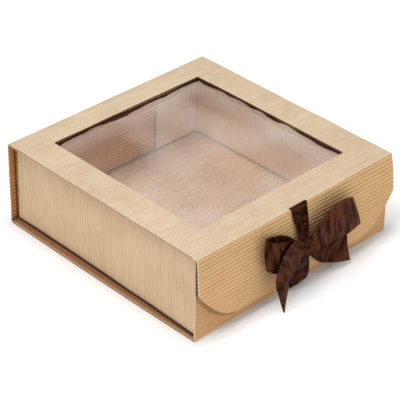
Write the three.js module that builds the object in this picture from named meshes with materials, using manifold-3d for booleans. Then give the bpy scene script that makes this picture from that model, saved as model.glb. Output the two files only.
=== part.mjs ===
// Square gift box for sweets, folded from ribbed kraft card.
// One long sheet makes the flap, the lid, the spine, the base and the front wall.
// Two tabbed strips make the side walls. A clear film closes the lid's window, and a satin
// ribbon comes out of a slit at the front crease and is tied in a bow on the flap.
// Millimetres, +Z up, +Y from the front to the back. The origin is the middle of the base's underside.

import * as THREE from 'three';
import { mergeVertices } from 'three/addons/utils/BufferGeometryUtils.js';
import Module from 'manifold-3d';

const wasm = await Module();
wasm.setup();

// Whole box
const box_width = 200;
const box_depth = 200;
const box_height = 70;

// Card, folds and clearances
const card = 1.5;
const fold_radius = 1.8;
const fit_gap = 0.3;
const glue_line = 0.1;
const cut_overrun = 3;

// Ribs that the card's flutes raise on its faces: fine ones on the lid, the floor and the side
// walls, and broad ones on the flap, the spine and the front wall
const rib_pitch = 2.1;
const rib_depth = 0.3;
const broad_rib_pitch = 3.2;
const broad_rib_depth = 0.4;

// Base, with a second ply inside it that stiffens the floor
const liner_card = 1.4;
const liner_edge_inset = 0.4;
const base_edge_bow = 0.8;

// Front wall
const front_wall_drop = 1.2;

// Side walls and their glue tabs
const wall_card = 1.4;
const wall_inset_front = 2.8;
const wall_inset_back = 5.6;
const wall_bow = 1.4;
const wall_corner_radius = 2.2;
const wall_foot_gap = 0.8;
const wall_top_gap = 0.9;
const front_tab_length = 40;
const rear_tab_length = 47;

// Window in the lid, its film and the strips that hold the film
const window_side_border = 26;
const window_front_border = 26;
const window_back_border = 22.5;
const film_thickness = 0.4;
const film_lap = 12;
const tape_thickness = 0.3;
const tape_width = 6;
const tape_edge_inset = 5;

// Flap in front of the front wall
const flap_clearance = 0.5;
const flap_length = 58.5;
const flap_side_inset = 0.3;
const flap_lift = 2.4;
const flap_belly = 0.5;
const flap_corner_width = 38;
const flap_corner_height = 31;
const flap_corner_bend_share = 0.52;

// Ribbon and the slit that it comes out of
const ribbon_thickness = 0.5;
const slit_width = 1.8;
const slit_end_clearance = 0.8;
const slit_setback = 0.8;
const ribbon_turn_radius = 0.7;
const inner_end_length = 10;
const patch_length = 6;
const patch_inset = 1;
const patch_side_lap = 4;

// Bow: its span, its knot and the strands that reach the knot
const bow_span = 100;
const knot_width = 11;
const knot_depth = 9;
const knot_height = 13;
const knot_rise = 39;
const knot_flap_gap = 0.4;
const knot_taper_share = 0.45;
const strand_offset = -1.6;
const strand_crease_width = 16;
const strand_knot_width = 8;
const strand_hem_width = 17.5;
const strand_crease_gap = 0.7;
const strand_lift = 1.2;
const hem_turn = 2.2;
const hem_tail_length = 22;

// Smoothness
const fold_steps = 5;
const rib_steps = 2;
const broad_rib_steps = 4;
const strand_steps = 14;
const loop_steps = 36;
const tail_steps = 20;
const knot_sides = 24;
const knot_rings = 10;

// Places that several pieces share
const half_width = box_width / 2;
const tray_front = -box_depth / 2;
const tray_back = box_depth / 2;
const lid_front = tray_front - flap_clearance - card;
const lid_underside = box_height - card;
const lid_bend_end = box_height - fold_radius;
const panel_top = lid_bend_end - fit_gap;
const floor_top = card + glue_line + liner_card;
const window_front = lid_front + window_front_border;
const window_back = tray_back - window_back_border;
const window_half = half_width - window_side_border;
const tape_top = lid_underside - glue_line;
const film_top = tape_top - tape_thickness - glue_line;
const flap_bottom = box_height - flap_length;
const slit_y = lid_front + fold_radius + slit_setback;
const knot_size = new THREE.Vector3(knot_width, knot_depth, knot_height);
const knot_centre = new THREE.Vector3(
    0,
    lid_front - flapStandOff(knot_rise) - knot_flap_gap - knot_depth / 2,
    knot_rise,
);

// How far the flap's face stands in front of the crease at a height: a slant with a slight belly.
function flapStandOff(height) {
    const share = (panel_top - height) / (panel_top - flap_bottom);
    return flap_lift * share + 4 * flap_belly * share * (1 - share);
}

// Helpers for solids

function toSolid(geometry) {
    const bare = geometry.clone();
    bare.deleteAttribute('normal');
    bare.deleteAttribute('uv');
    const merged = mergeVertices(bare);
    const mesh = new wasm.Mesh({
        numProp: 3,
        vertProperties: new Float32Array(merged.attributes.position.array),
        triVerts: new Uint32Array(merged.index.array),
    });
    return new wasm.Manifold(mesh);
}

function toGeometry(solid) {
    const mesh = solid.getMesh();
    const geometry = new THREE.BufferGeometry();
    geometry.setAttribute('position', new THREE.BufferAttribute(mesh.vertProperties, 3));
    geometry.setIndex(new THREE.BufferAttribute(mesh.triVerts, 1));
    geometry.computeVertexNormals();
    return geometry;
}

function cut(geometry, ...tools) {
    let solid = toSolid(geometry);
    for (const tool of tools) {
        solid = solid.subtract(toSolid(tool));
    }
    return toGeometry(solid);
}

function common(geometry, tool) {
    return toGeometry(toSolid(geometry).intersect(toSolid(tool)));
}

// A shape drawn in Y and Z, run along X from one place to another.
function alongX(shape, start, end) {
    const geometry = new THREE.ExtrudeGeometry(shape, {
        depth: end - start,
        bevelEnabled: false,
        curveSegments: fold_steps,
    });
    const basis = new THREE.Matrix4().makeBasis(
        new THREE.Vector3(0, 1, 0),
        new THREE.Vector3(0, 0, 1),
        new THREE.Vector3(1, 0, 0),
    );
    return geometry.applyMatrix4(basis).translate(start, 0, 0);
}

// A shape drawn in X and Z, run along Y from a back place forwards to a front place.
function alongY(shape, front, back, segments = fold_steps) {
    const geometry = new THREE.ExtrudeGeometry(shape, {
        depth: back - front,
        bevelEnabled: false,
        curveSegments: segments,
    });
    const basis = new THREE.Matrix4().makeBasis(
        new THREE.Vector3(1, 0, 0),
        new THREE.Vector3(0, 0, 1),
        new THREE.Vector3(0, -1, 0),
    );
    return geometry.applyMatrix4(basis).translate(0, back, 0);
}

// A shape drawn in X and Y, run along Z from a low place to a high one.
function alongZ(shape, low, high, segments = fold_steps) {
    const geometry = new THREE.ExtrudeGeometry(shape, {
        depth: high - low,
        bevelEnabled: false,
        curveSegments: segments,
    });
    return geometry.translate(0, 0, low);
}

function rectangle(low_u, high_u, low_v, high_v) {
    const shape = new THREE.Shape();
    shape.moveTo(low_u, low_v);
    shape.lineTo(high_u, low_v);
    shape.lineTo(high_u, high_v);
    shape.lineTo(low_u, high_v);
    shape.closePath();
    return shape;
}

function block(low_x, high_x, low_y, high_y, low_z, high_z) {
    return alongZ(rectangle(low_x, high_x, low_y, high_y), low_z, high_z);
}

// Card folds

// Adds a ribbed face to an outline that is drawn anticlockwise: round crests along the curve,
// with narrow valleys between them cut into the card.
function addRibs(shape, curve, pitch, depth, steps) {
    const count = Math.max(1, Math.round(curve.getLength() / pitch)) * steps;
    for (let step = 0; step <= count; step += 1) {
        const place = curve.getPointAt(step / count);
        const along = curve.getTangentAt(step / count);
        const sink = depth * (1 - Math.abs(Math.cos((Math.PI * step) / steps)));
        shape.lineTo(place.x - along.y * sink, place.y + along.x * sink);
    }
}

// The lid's side view: a ribbed panel whose front and back ends curl down to the creases.
function lidSection() {
    const inner_radius = fold_radius - card;
    const top_back = new THREE.Vector2(tray_back - fold_radius, box_height);
    const top_front = new THREE.Vector2(lid_front + fold_radius, box_height);
    const shape = new THREE.Shape();
    shape.moveTo(tray_back, lid_bend_end);
    shape.absarc(tray_back - fold_radius, lid_bend_end, fold_radius, 0, Math.PI / 2, false);
    addRibs(shape, new THREE.LineCurve(top_back, top_front), rib_pitch, rib_depth, rib_steps);
    shape.absarc(lid_front + fold_radius, lid_bend_end, fold_radius, Math.PI / 2, Math.PI, false);
    shape.lineTo(lid_front + card, lid_bend_end);
    shape.absarc(lid_front + fold_radius, lid_bend_end, inner_radius, Math.PI, Math.PI / 2, true);
    shape.absarc(tray_back - fold_radius, lid_bend_end, inner_radius, Math.PI / 2, 0, true);
    shape.closePath();
    return shape;
}

// The base's side view: the same fold turned upwards at both ends.
function baseSection() {
    const inner_radius = fold_radius - card;
    const shape = new THREE.Shape();
    shape.moveTo(tray_front, fold_radius);
    shape.absarc(tray_front + fold_radius, fold_radius, fold_radius, Math.PI, Math.PI * 1.5, false);
    shape.absarc(tray_back - fold_radius, fold_radius, fold_radius, Math.PI * 1.5, Math.PI * 2, false);
    shape.lineTo(tray_back - card, fold_radius);
    shape.absarc(tray_back - fold_radius, fold_radius, inner_radius, Math.PI * 2, Math.PI * 1.5, true);
    shape.absarc(tray_front + fold_radius, fold_radius, inner_radius, Math.PI * 1.5, Math.PI, true);
    shape.closePath();
    return shape;
}

// Plan outline whose two long side edges bulge outwards a little, as the free edges of the base do.
function bulgedPlan(half, bow) {
    const shape = new THREE.Shape();
    const front = tray_front - cut_overrun;
    const back = tray_back + cut_overrun;
    shape.moveTo(-half, front);
    shape.lineTo(half, front);
    shape.quadraticCurveTo(half + 2 * bow, 0, half, back);
    shape.lineTo(-half, back);
    shape.quadraticCurveTo(-half - 2 * bow, 0, -half, front);
    return shape;
}

function basePanel() {
    const reach = half_width + base_edge_bow + cut_overrun;
    const sheet = alongX(baseSection(), -reach, reach);
    const plan = alongZ(bulgedPlan(half_width, base_edge_bow), -cut_overrun, fold_radius + cut_overrun);
    return common(sheet, plan);
}

// The ply inside the base, whose top is the ribbed floor.
function baseLiner() {
    const low = card + glue_line;
    const front = tray_front + fold_radius;
    const back = tray_back - fold_radius;
    const side = new THREE.Shape();
    side.moveTo(front, low);
    side.lineTo(back, low);
    const top = new THREE.LineCurve(new THREE.Vector2(back, floor_top), new THREE.Vector2(front, floor_top));
    addRibs(side, top, rib_pitch, rib_depth, rib_steps);
    side.closePath();

    const reach = half_width + base_edge_bow + cut_overrun;
    const sheet = alongX(side, -reach, reach);
    const plan_half = half_width - liner_edge_inset;
    const plan = alongZ(bulgedPlan(plan_half, base_edge_bow), low - cut_overrun, floor_top + cut_overrun);
    return common(sheet, plan);
}

// A standing panel with broad ribs on its outer face, which is the back one or the front one.
function standingPanel(outer_y, inner_y, low, high) {
    const faces_back = outer_y > inner_y;
    const outer_low = new THREE.Vector2(outer_y, low);
    const outer_high = new THREE.Vector2(outer_y, high);
    const outer = faces_back
        ? new THREE.LineCurve(outer_low, outer_high)
        : new THREE.LineCurve(outer_high, outer_low);
    const shape = new THREE.Shape();
    shape.moveTo(inner_y, faces_back ? low : high);
    addRibs(shape, outer, broad_rib_pitch, broad_rib_depth, broad_rib_steps);
    shape.lineTo(inner_y, faces_back ? high : low);
    shape.closePath();
    return alongX(shape, -half_width, half_width);
}

function spinePanel() {
    return standingPanel(tray_back, tray_back - card, fold_radius + fit_gap, panel_top);
}

function frontWall() {
    const top = lid_underside - front_wall_drop;
    return standingPanel(tray_front, tray_front + card, fold_radius + fit_gap, top);
}

// Closed outline of a strip whose middle line follows the points, each with the strip's thickness there.
function stripOutline(points, thicknesses) {
    const left = [];
    const right = [];
    points.forEach((point, index) => {
        const before = points[Math.max(index - 1, 0)];
        const after = points[Math.min(index + 1, points.length - 1)];
        const along = new THREE.Vector2().subVectors(after, before).normalize();
        const across = new THREE.Vector2(-along.y, along.x).multiplyScalar(thicknesses[index] / 2);
        left.push(new THREE.Vector2().addVectors(point, across));
        right.unshift(new THREE.Vector2().subVectors(point, across));
    });
    return new THREE.Shape([...left, ...right]);
}

// A side wall seen from above: a tab on the front wall, a corner, the wall, a corner and a tab
// on the spine. The wall leans in towards the back and bows in at mid length, and it has upright
// ribs on both faces.
function sideWall(side) {
    const front_y = tray_front + card + glue_line + wall_card / 2;
    const back_y = tray_back - card - glue_line - wall_card / 2;
    const front_x = side * (half_width - wall_inset_front - wall_card / 2);
    const back_x = side * (half_width - wall_inset_back - wall_card / 2);
    const middle_x = (front_x + back_x) / 2 - side * 2 * wall_bow;
    const inwards = -side * wall_corner_radius;
    const front_tab = new THREE.Vector2(front_x - side * front_tab_length, front_y);
    const front_turn = new THREE.Vector2(front_x + inwards, front_y);
    const wall_start = new THREE.Vector2(front_x, front_y + wall_corner_radius);
    const wall_end = new THREE.Vector2(back_x, back_y - wall_corner_radius);
    const back_turn = new THREE.Vector2(back_x + inwards, back_y);
    const rear_tab = new THREE.Vector2(back_x - side * rear_tab_length, back_y);
    const front_corner = new THREE.QuadraticBezierCurve(
        front_turn,
        new THREE.Vector2(front_x, front_y),
        wall_start,
    );
    const wall = new THREE.QuadraticBezierCurve(wall_start, new THREE.Vector2(middle_x, 0), wall_end);
    const back_corner = new THREE.QuadraticBezierCurve(
        wall_end,
        new THREE.Vector2(back_x, back_y),
        back_turn,
    );
    const ribs = Math.round(wall.getLength() / rib_pitch);
    const start_points = [front_tab, ...front_corner.getPoints(fold_steps)];
    const wall_points = wall.getSpacedPoints(ribs * rib_steps).slice(1, -1);
    const end_points = [...back_corner.getPoints(fold_steps), rear_tab];
    const points = [...start_points, ...wall_points, ...end_points];
    const thicknesses = points.map((point, index) => {
        const step = index - start_points.length + 1;
        const on_wall = step > 0 && step <= wall_points.length;
        return on_wall && step % rib_steps > 0 ? wall_card - 2 * rib_depth : wall_card;
    });
    const outline = stripOutline(points, thicknesses);
    return alongZ(outline, floor_top + wall_foot_gap, lid_underside - wall_top_gap);
}

// Lid

function lidPanel() {
    const sheet = alongX(lidSection(), -half_width, half_width);
    const opening = block(
        -window_half,
        window_half,
        window_front,
        window_back,
        lid_underside - cut_overrun,
        box_height + cut_overrun,
    );
    const slit_half = strand_crease_width / 2 + slit_end_clearance;
    const slit = block(
        strand_offset - slit_half,
        strand_offset + slit_half,
        slit_y - slit_width / 2,
        slit_y + slit_width / 2,
        lid_underside - cut_overrun,
        box_height + cut_overrun,
    );
    return cut(sheet, opening, slit);
}

function windowFilm() {
    return block(
        -window_half - film_lap,
        window_half + film_lap,
        window_front - film_lap,
        window_back + film_lap,
        film_top - film_thickness,
        film_top,
    );
}

// The strip between the film and the lid along one edge of the window.
function windowTape(edge) {
    const inner = tape_edge_inset;
    const outer = tape_edge_inset + tape_width;
    const low = tape_top - tape_thickness;
    const ends = window_half + outer;
    const side_start = window_front - inner + fit_gap;
    const side_end = window_back + inner - fit_gap;
    if (edge === 'front') {
        return block(-ends, ends, window_front - outer, window_front - inner, low, tape_top);
    }
    if (edge === 'back') {
        return block(-ends, ends, window_back + inner, window_back + outer, low, tape_top);
    }
    if (edge === 'left') {
        return block(-window_half - outer, -window_half - inner, side_start, side_end, low, tape_top);
    }
    return block(window_half + inner, window_half + outer, side_start, side_end, low, tape_top);
}

// Flap

// The flap hangs from the crease with a slight slant and belly. It has broad ribs in front, and
// its lower corners are cut as long flat curves.
function frontFlap() {
    const middle = (panel_top + flap_bottom) / 2;
    const bulge = flap_lift / 2 + 2 * flap_belly;
    const outer = new THREE.QuadraticBezierCurve(
        new THREE.Vector2(lid_front, panel_top),
        new THREE.Vector2(lid_front - bulge, middle),
        new THREE.Vector2(lid_front - flap_lift, flap_bottom),
    );
    const side = new THREE.Shape();
    side.moveTo(lid_front + card, panel_top);
    addRibs(side, outer, broad_rib_pitch, broad_rib_depth, broad_rib_steps);
    side.lineTo(lid_front - flap_lift + card, flap_bottom);
    side.quadraticCurveTo(lid_front - bulge + card, middle, lid_front + card, panel_top);
    side.closePath();

    const half = half_width - flap_side_inset;
    const corner_x = half - flap_corner_width;
    const corner_z = flap_bottom + flap_corner_height;
    const bend_x = half - flap_corner_width * flap_corner_bend_share;
    const front = new THREE.Shape();
    front.moveTo(-corner_x, flap_bottom);
    front.lineTo(corner_x, flap_bottom);
    front.quadraticCurveTo(bend_x, flap_bottom, half, corner_z);
    front.lineTo(half, panel_top + cut_overrun);
    front.lineTo(-half, panel_top + cut_overrun);
    front.lineTo(-half, corner_z);
    front.quadraticCurveTo(-bend_x, flap_bottom, -corner_x, flap_bottom);

    const reach = half_width + cut_overrun;
    const sheet = alongX(side, -reach, reach);
    const front_face = lid_front - flap_lift - flap_belly - cut_overrun;
    const outline = alongY(front, front_face, lid_front + card + cut_overrun, 2 * fold_steps);
    return common(sheet, outline);
}

// Ribbon

// A thin closed strip between two edge lines that have the same number of points.
function ribbonStrip(edge_a, edge_b) {
    const positions = [];
    const faces = [];
    const half = ribbon_thickness / 2;
    const last = edge_a.length - 1;
    const middles = edge_a.map((point, index) => point.clone().add(edge_b[index]).divideScalar(2));
    edge_a.forEach((point, index) => {
        const before = middles[Math.max(index - 1, 0)];
        const after = middles[Math.min(index + 1, last)];
        const along = new THREE.Vector3().subVectors(after, before);
        const across = new THREE.Vector3().subVectors(edge_b[index], point);
        const normal = new THREE.Vector3().crossVectors(across, along).normalize().multiplyScalar(half);
        for (const [corner, sign] of [[point, 1], [edge_b[index], 1], [edge_b[index], -1], [point, -1]]) {
            positions.push(...corner.clone().addScaledVector(normal, sign).toArray());
        }
    });
    for (let row = 0; row < last; row += 1) {
        for (let corner = 0; corner < 4; corner += 1) {
            const a = row * 4 + corner;
            const b = row * 4 + (corner + 1) % 4;
            faces.push(a, b, b + 4, a, b + 4, a + 4);
        }
    }
    const end = last * 4;
    faces.push(0, 3, 2, 0, 2, 1);
    faces.push(end, end + 1, end + 2, end, end + 2, end + 3);
    const geometry = new THREE.BufferGeometry();
    geometry.setAttribute('position', new THREE.Float32BufferAttribute(positions, 3));
    geometry.setIndex(isInsideOut(positions, faces) ? faces.reverse() : faces);
    geometry.computeVertexNormals();
    return geometry;
}

// Whether the faces enclose a negative volume.
function isInsideOut(positions, faces) {
    let volume = 0;
    for (let index = 0; index < faces.length; index += 3) {
        const [a, b, c] = faces.slice(index, index + 3).map((vertex) => (
            new THREE.Vector3().fromArray(positions, vertex * 3)
        ));
        volume += a.dot(b.cross(c));
    }
    return volume < 0;
}

// A strip whose side view is a line in Y and Z and whose width changes along it.
function strandStrip(line, widths) {
    const last = line.length - 1;
    const curve = new THREE.SplineCurve(widths.map((width, index) => (
        new THREE.Vector2(index / (widths.length - 1), width)
    )));
    const edge = (side) => line.map((point, index) => (
        new THREE.Vector3(strand_offset + side * curve.getPoint(index / last).y / 2, point.x, point.y)
    ));
    return ribbonStrip(edge(-1), edge(1));
}

// The ribbon's inner end: flat under the lid, up through the slit and over the front fold.
function ribbonInnerEnd() {
    const under = lid_underside - glue_line - ribbon_thickness / 2;
    const above = box_height + glue_line + ribbon_thickness / 2;
    const drape = fold_radius + glue_line + ribbon_thickness / 2;
    const turn = ribbon_turn_radius;
    const arc_y = lid_front + fold_radius;
    const line = new THREE.CurvePath();
    const start = new THREE.Vector2(slit_y + inner_end_length, under);
    const rise_start = new THREE.Vector2(slit_y + turn, under);
    const rise = new THREE.Vector2(slit_y, under + turn);
    const top = new THREE.Vector2(slit_y, above - turn);
    const over = new THREE.Vector2(slit_y - turn, above);
    const arc_start = new THREE.Vector2(arc_y, above);
    line.add(new THREE.LineCurve(start, rise_start));
    line.add(new THREE.QuadraticBezierCurve(rise_start, new THREE.Vector2(slit_y, under), rise));
    line.add(new THREE.LineCurve(rise, top));
    line.add(new THREE.QuadraticBezierCurve(top, new THREE.Vector2(slit_y, above), over));
    line.add(new THREE.LineCurve(over, arc_start));
    line.add(new THREE.EllipseCurve(arc_y, lid_bend_end, drape, drape, Math.PI / 2, Math.PI, false, 0));
    return strandStrip(line.getPoints(fold_steps), [strand_crease_width, strand_crease_width]);
}

function ribbonInnerPatch() {
    const high = lid_underside - glue_line - ribbon_thickness - glue_line;
    const half = strand_crease_width / 2 + patch_side_lap;
    const back = slit_y + inner_end_length - patch_inset;
    return block(
        strand_offset - half,
        strand_offset + half,
        back - patch_length,
        back,
        high - tape_thickness,
        high,
    );
}

// The strand from the crease down the flap to the top of the knot.
function ribbonUpper() {
    const top = lid_bend_end - fit_gap - strand_crease_gap;
    const bottom = knot_rise + knot_height / 2 + fit_gap;
    const rest = ribbon_thickness / 2 + glue_line;
    const middle = (top + bottom) / 2;
    const line = new THREE.SplineCurve([
        new THREE.Vector2(lid_front - flapStandOff(top) - rest, top),
        new THREE.Vector2(lid_front - flapStandOff(middle) - rest - strand_lift, middle),
        new THREE.Vector2(knot_centre.y + knot_depth / 4, bottom),
    ]);
    const widths = [strand_crease_width, (strand_crease_width + strand_knot_width) / 2, strand_knot_width];
    return strandStrip(line.getPoints(strand_steps), widths);
}

// The strand from the bottom of the knot, round the flap's lower edge and up behind it.
function ribbonLower() {
    const top = knot_rise - knot_height / 2 - fit_gap;
    const rest = ribbon_thickness / 2 + glue_line;
    const front = lid_front - flap_lift - hem_turn;
    const edge_y = lid_front - flap_lift + card / 2;
    const behind = lid_front - flap_lift + card + rest + glue_line;
    const inner_top = flap_bottom + hem_tail_length;
    const inner_y = lid_front - flapStandOff(inner_top) + card + rest + glue_line;
    const line = new THREE.SplineCurve([
        new THREE.Vector2(knot_centre.y + knot_depth / 4, top),
        new THREE.Vector2(front - strand_lift, (top + flap_bottom) / 2),
        new THREE.Vector2(front, flap_bottom),
        new THREE.Vector2(edge_y, flap_bottom - hem_turn),
        new THREE.Vector2(behind + glue_line, flap_bottom),
        new THREE.Vector2(inner_y, inner_top),
    ]);
    const widths = [strand_knot_width, strand_hem_width, strand_hem_width, strand_hem_width];
    return strandStrip(line.getPoints(2 * strand_steps), widths);
}

function ribbonLowerPatch() {
    const high = flap_bottom + hem_tail_length - patch_inset;
    const low = high - patch_length;
    const front = lid_front - flapStandOff(low) + card + ribbon_thickness + 4 * glue_line;
    const half = strand_hem_width / 2 + patch_side_lap;
    return block(
        strand_offset - half,
        strand_offset + half,
        front,
        front + tape_thickness,
        low,
        high,
    );
}

// Smooth line through places counted from the knot's centre: from where the knot holds the ribbon,
// in shares of the knot's size, over places in shares of the bow's span.
function bowEdge(holds, shares, steps) {
    const places = shares.map((place) => new THREE.Vector3(...place).multiplyScalar(bow_span));
    const [start, ...end] = holds.map((place) => new THREE.Vector3(...place).multiply(knot_size));
    const points = [start, ...places, ...end].map((place) => place.add(knot_centre));
    return new THREE.CatmullRomCurve3(points).getPoints(steps);
}

// Where the knot holds the upper and the lower edge of each piece. A loop is held at both ends.
const left_loop_hold_shares = [
    [[-0.545, 0.267, 0.246], [-0.545, -0.067, 0.246]],
    [[-0.545, 0.267, -0.292], [-0.545, -0.067, -0.277]],
];
const right_loop_hold_shares = [
    [[0.545, 0.267, 0.246], [0.545, -0.067, 0.246]],
    [[0.545, 0.267, -0.292], [0.545, -0.067, -0.277]],
];
const left_tail_hold_shares = [[[-0.455, -0.322, 0.308]], [[-0.455, -0.322, -0.346]]];
const right_tail_hold_shares = [[[0.564, 0.1, -0.154]], [[0.545, 0.1, -0.538]]];

// Each list below follows one edge of a ribbon piece away from the knot.
const left_loop_upper_shares = [
    [-0.196, 0.034, 0.127],
    [-0.385, 0.036, 0.212],
    [-0.416, 0.025, 0.218],
    [-0.404, 0.000, 0.209],
    [-0.245, -0.020, 0.171],
    [-0.122, -0.022, 0.103],
];
const left_loop_lower_shares = [
    [-0.186, 0.030, -0.106],
    [-0.385, 0.030, -0.060],
    [-0.418, 0.025, -0.050],
    [-0.415, 0.000, -0.023],
    [-0.313, -0.020, -0.085],
    [-0.136, -0.020, -0.060],
];
const right_loop_upper_shares = [
    [0.240, 0.022, 0.129],
    [0.373, 0.014, 0.200],
    [0.447, -0.005, 0.212],
    [0.400, -0.035, 0.196],
    [0.270, -0.048, 0.178],
    [0.130, -0.036, 0.115],
];
const right_loop_lower_shares = [
    [0.250, 0.022, -0.090],
    [0.450, 0.014, -0.080],
    [0.555, -0.005, -0.066],
    [0.500, -0.035, -0.060],
    [0.310, -0.048, -0.072],
    [0.160, -0.036, -0.055],
];
const left_tail_upper_shares = [
    [-0.110, -0.042, 0.120],
    [-0.190, -0.049, 0.150],
    [-0.275, -0.058, 0.116],
    [-0.368, -0.070, -0.027],
    [-0.395, -0.077, -0.097],
    [-0.374, -0.083, -0.187],
    [-0.332, -0.089, -0.306],
    [-0.313, -0.091, -0.374],
];
const left_tail_lower_shares = [
    [-0.070, -0.036, -0.085],
    [-0.094, -0.041, -0.120],
    [-0.122, -0.045, -0.150],
    [-0.203, -0.055, -0.216],
    [-0.241, -0.063, -0.223],
    [-0.275, -0.073, -0.256],
    [-0.302, -0.084, -0.310],
    [-0.303, -0.092, -0.374],
];
const right_tail_upper_shares = [
    [0.130, 0.004, -0.080],
    [0.203, -0.002, -0.112],
    [0.320, -0.006, -0.120],
    [0.430, -0.008, -0.112],
];
const right_tail_lower_shares = [
    [0.100, -0.002, -0.158],
    [0.190, -0.012, -0.222],
    [0.320, -0.020, -0.280],
    [0.461, -0.028, -0.329],
];

// The knot is a squat barrel, where the ribbon wraps round the strands.
function bowKnot() {
    const profile = [new THREE.Vector2(0, -1)];
    for (let ring = 0; ring <= knot_rings; ring += 1) {
        const height_share = (2 * ring) / knot_rings - 1;
        const radius_share = Math.sqrt(1 - knot_taper_share * height_share * height_share);
        profile.push(new THREE.Vector2(radius_share, height_share));
    }
    profile.push(new THREE.Vector2(0, 1));
    return new THREE.LatheGeometry(profile, knot_sides)
        .rotateX(Math.PI / 2)
        .scale(knot_width / 2, knot_depth / 2, knot_height / 2)
        .translate(...knot_centre.toArray());
}

function bowPiece(holds, upper_shares, lower_shares, steps) {
    return ribbonStrip(bowEdge(holds[0], upper_shares, steps), bowEdge(holds[1], lower_shares, steps));
}

// The object

const materials = {
    card: { color: 0xdbc0a0, roughness: 0.9, metalness: 0 },
    card_shaded: { color: 0xcaa174, roughness: 0.9, metalness: 0 },
    card_wall: { color: 0xd4b694, roughness: 0.9, metalness: 0 },
    film: { color: 0xf4f6f7, roughness: 0.08, metalness: 0, transparent: true, opacity: 0.25 },
    tape: { color: 0xe9e4d8, roughness: 0.5, metalness: 0 },
    ribbon: { color: 0x3a1f17, roughness: 0.45, metalness: 0 },
};

function piece(name, geometry, material) {
    const mesh = new THREE.Mesh(geometry, new THREE.MeshStandardMaterial(materials[material]));
    mesh.name = name;
    return mesh;
}

const tray = new THREE.Group();
tray.add(piece('base_panel', basePanel(), 'card'));
tray.add(piece('base_liner', baseLiner(), 'card_wall'));
tray.add(piece('spine_panel', spinePanel(), 'card'));
tray.add(piece('front_wall', frontWall(), 'card_shaded'));
tray.add(piece('left_side_wall', sideWall(-1), 'card_wall'));
tray.add(piece('right_side_wall', sideWall(1), 'card_wall'));

const lid = new THREE.Group();
lid.add(piece('lid_panel', lidPanel(), 'card'));
lid.add(piece('window_film', windowFilm(), 'film'));
for (const edge of ['front', 'back', 'left', 'right']) {
    lid.add(piece(`window_tape_${edge}`, windowTape(edge), 'tape'));
}
lid.add(piece('ribbon_inner_end', ribbonInnerEnd(), 'ribbon'));
lid.add(piece('ribbon_inner_patch', ribbonInnerPatch(), 'tape'));

const flap = new THREE.Group();
flap.add(piece('front_flap', frontFlap(), 'card_shaded'));
flap.add(piece('ribbon_upper', ribbonUpper(), 'ribbon'));
flap.add(piece('ribbon_lower', ribbonLower(), 'ribbon'));
flap.add(piece('ribbon_lower_patch', ribbonLowerPatch(), 'tape'));
flap.add(piece('bow_knot', bowKnot(), 'ribbon'));
flap.add(piece(
    'bow_left_loop',
    bowPiece(left_loop_hold_shares, left_loop_upper_shares, left_loop_lower_shares, loop_steps),
    'ribbon',
));
flap.add(piece(
    'bow_right_loop',
    bowPiece(right_loop_hold_shares, right_loop_upper_shares, right_loop_lower_shares, loop_steps),
    'ribbon',
));
flap.add(piece(
    'bow_left_tail',
    bowPiece(left_tail_hold_shares, left_tail_upper_shares, left_tail_lower_shares, tail_steps),
    'ribbon',
));
flap.add(piece(
    'bow_right_tail',
    bowPiece(right_tail_hold_shares, right_tail_upper_shares, right_tail_lower_shares, tail_steps),
    'ribbon',
));

const gift_box = new THREE.Group();
gift_box.add(tray, lid, flap);

export default gift_box;
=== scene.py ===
"""Dresses a window-lid gift box of ribbed kraft card, with its satin bow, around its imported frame."""

import math

import bpy
import numpy as np
from bpy.props import FloatProperty, FloatVectorProperty, IntProperty, PointerProperty
from bpy.types import Operator, Panel, PropertyGroup
from mathutils import Matrix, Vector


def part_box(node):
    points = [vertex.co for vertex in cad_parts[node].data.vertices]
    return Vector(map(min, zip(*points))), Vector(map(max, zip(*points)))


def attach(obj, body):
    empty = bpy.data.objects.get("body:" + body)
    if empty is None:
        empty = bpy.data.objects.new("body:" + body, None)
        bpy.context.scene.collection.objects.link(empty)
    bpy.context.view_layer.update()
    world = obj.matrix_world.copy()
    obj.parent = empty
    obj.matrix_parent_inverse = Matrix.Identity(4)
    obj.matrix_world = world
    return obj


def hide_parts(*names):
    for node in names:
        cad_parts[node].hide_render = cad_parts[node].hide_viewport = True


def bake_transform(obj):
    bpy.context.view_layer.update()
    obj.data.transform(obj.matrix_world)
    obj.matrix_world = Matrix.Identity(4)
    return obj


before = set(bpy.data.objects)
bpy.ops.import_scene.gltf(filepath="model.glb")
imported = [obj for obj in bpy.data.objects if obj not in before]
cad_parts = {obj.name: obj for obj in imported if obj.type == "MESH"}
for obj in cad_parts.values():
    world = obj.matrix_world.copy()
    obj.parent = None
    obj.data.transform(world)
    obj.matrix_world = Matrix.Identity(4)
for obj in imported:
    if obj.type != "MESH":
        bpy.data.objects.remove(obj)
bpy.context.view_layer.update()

bl_info = {
    "name": "Window-lid gift box",
    "version": (1, 0, 0),
    "blender": (4, 5, 0),
    "location": "3D View > Sidebar > Gift Box",
    "description": "Ribbed kraft card, clear film and a satin bow for a folded gift box",
    "category": "Object",
}

MM = 0.001


def hex_colour(text):
    """An sRGB hex colour as linear red, green, blue and alpha."""
    parts = [int(text[i : i + 2], 16) / 255 for i in (1, 3, 5)]
    linear = [p / 12.92 if p <= 0.04045 else ((p + 0.055) / 1.055) ** 2.4 for p in parts]
    return (*linear, 1.0)


def box(node):
    """Lowest and highest corner of a frame node, as two arrays in metres."""
    low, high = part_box(node)
    return np.array(low), np.array(high)


# Places that the frame fixes

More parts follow.
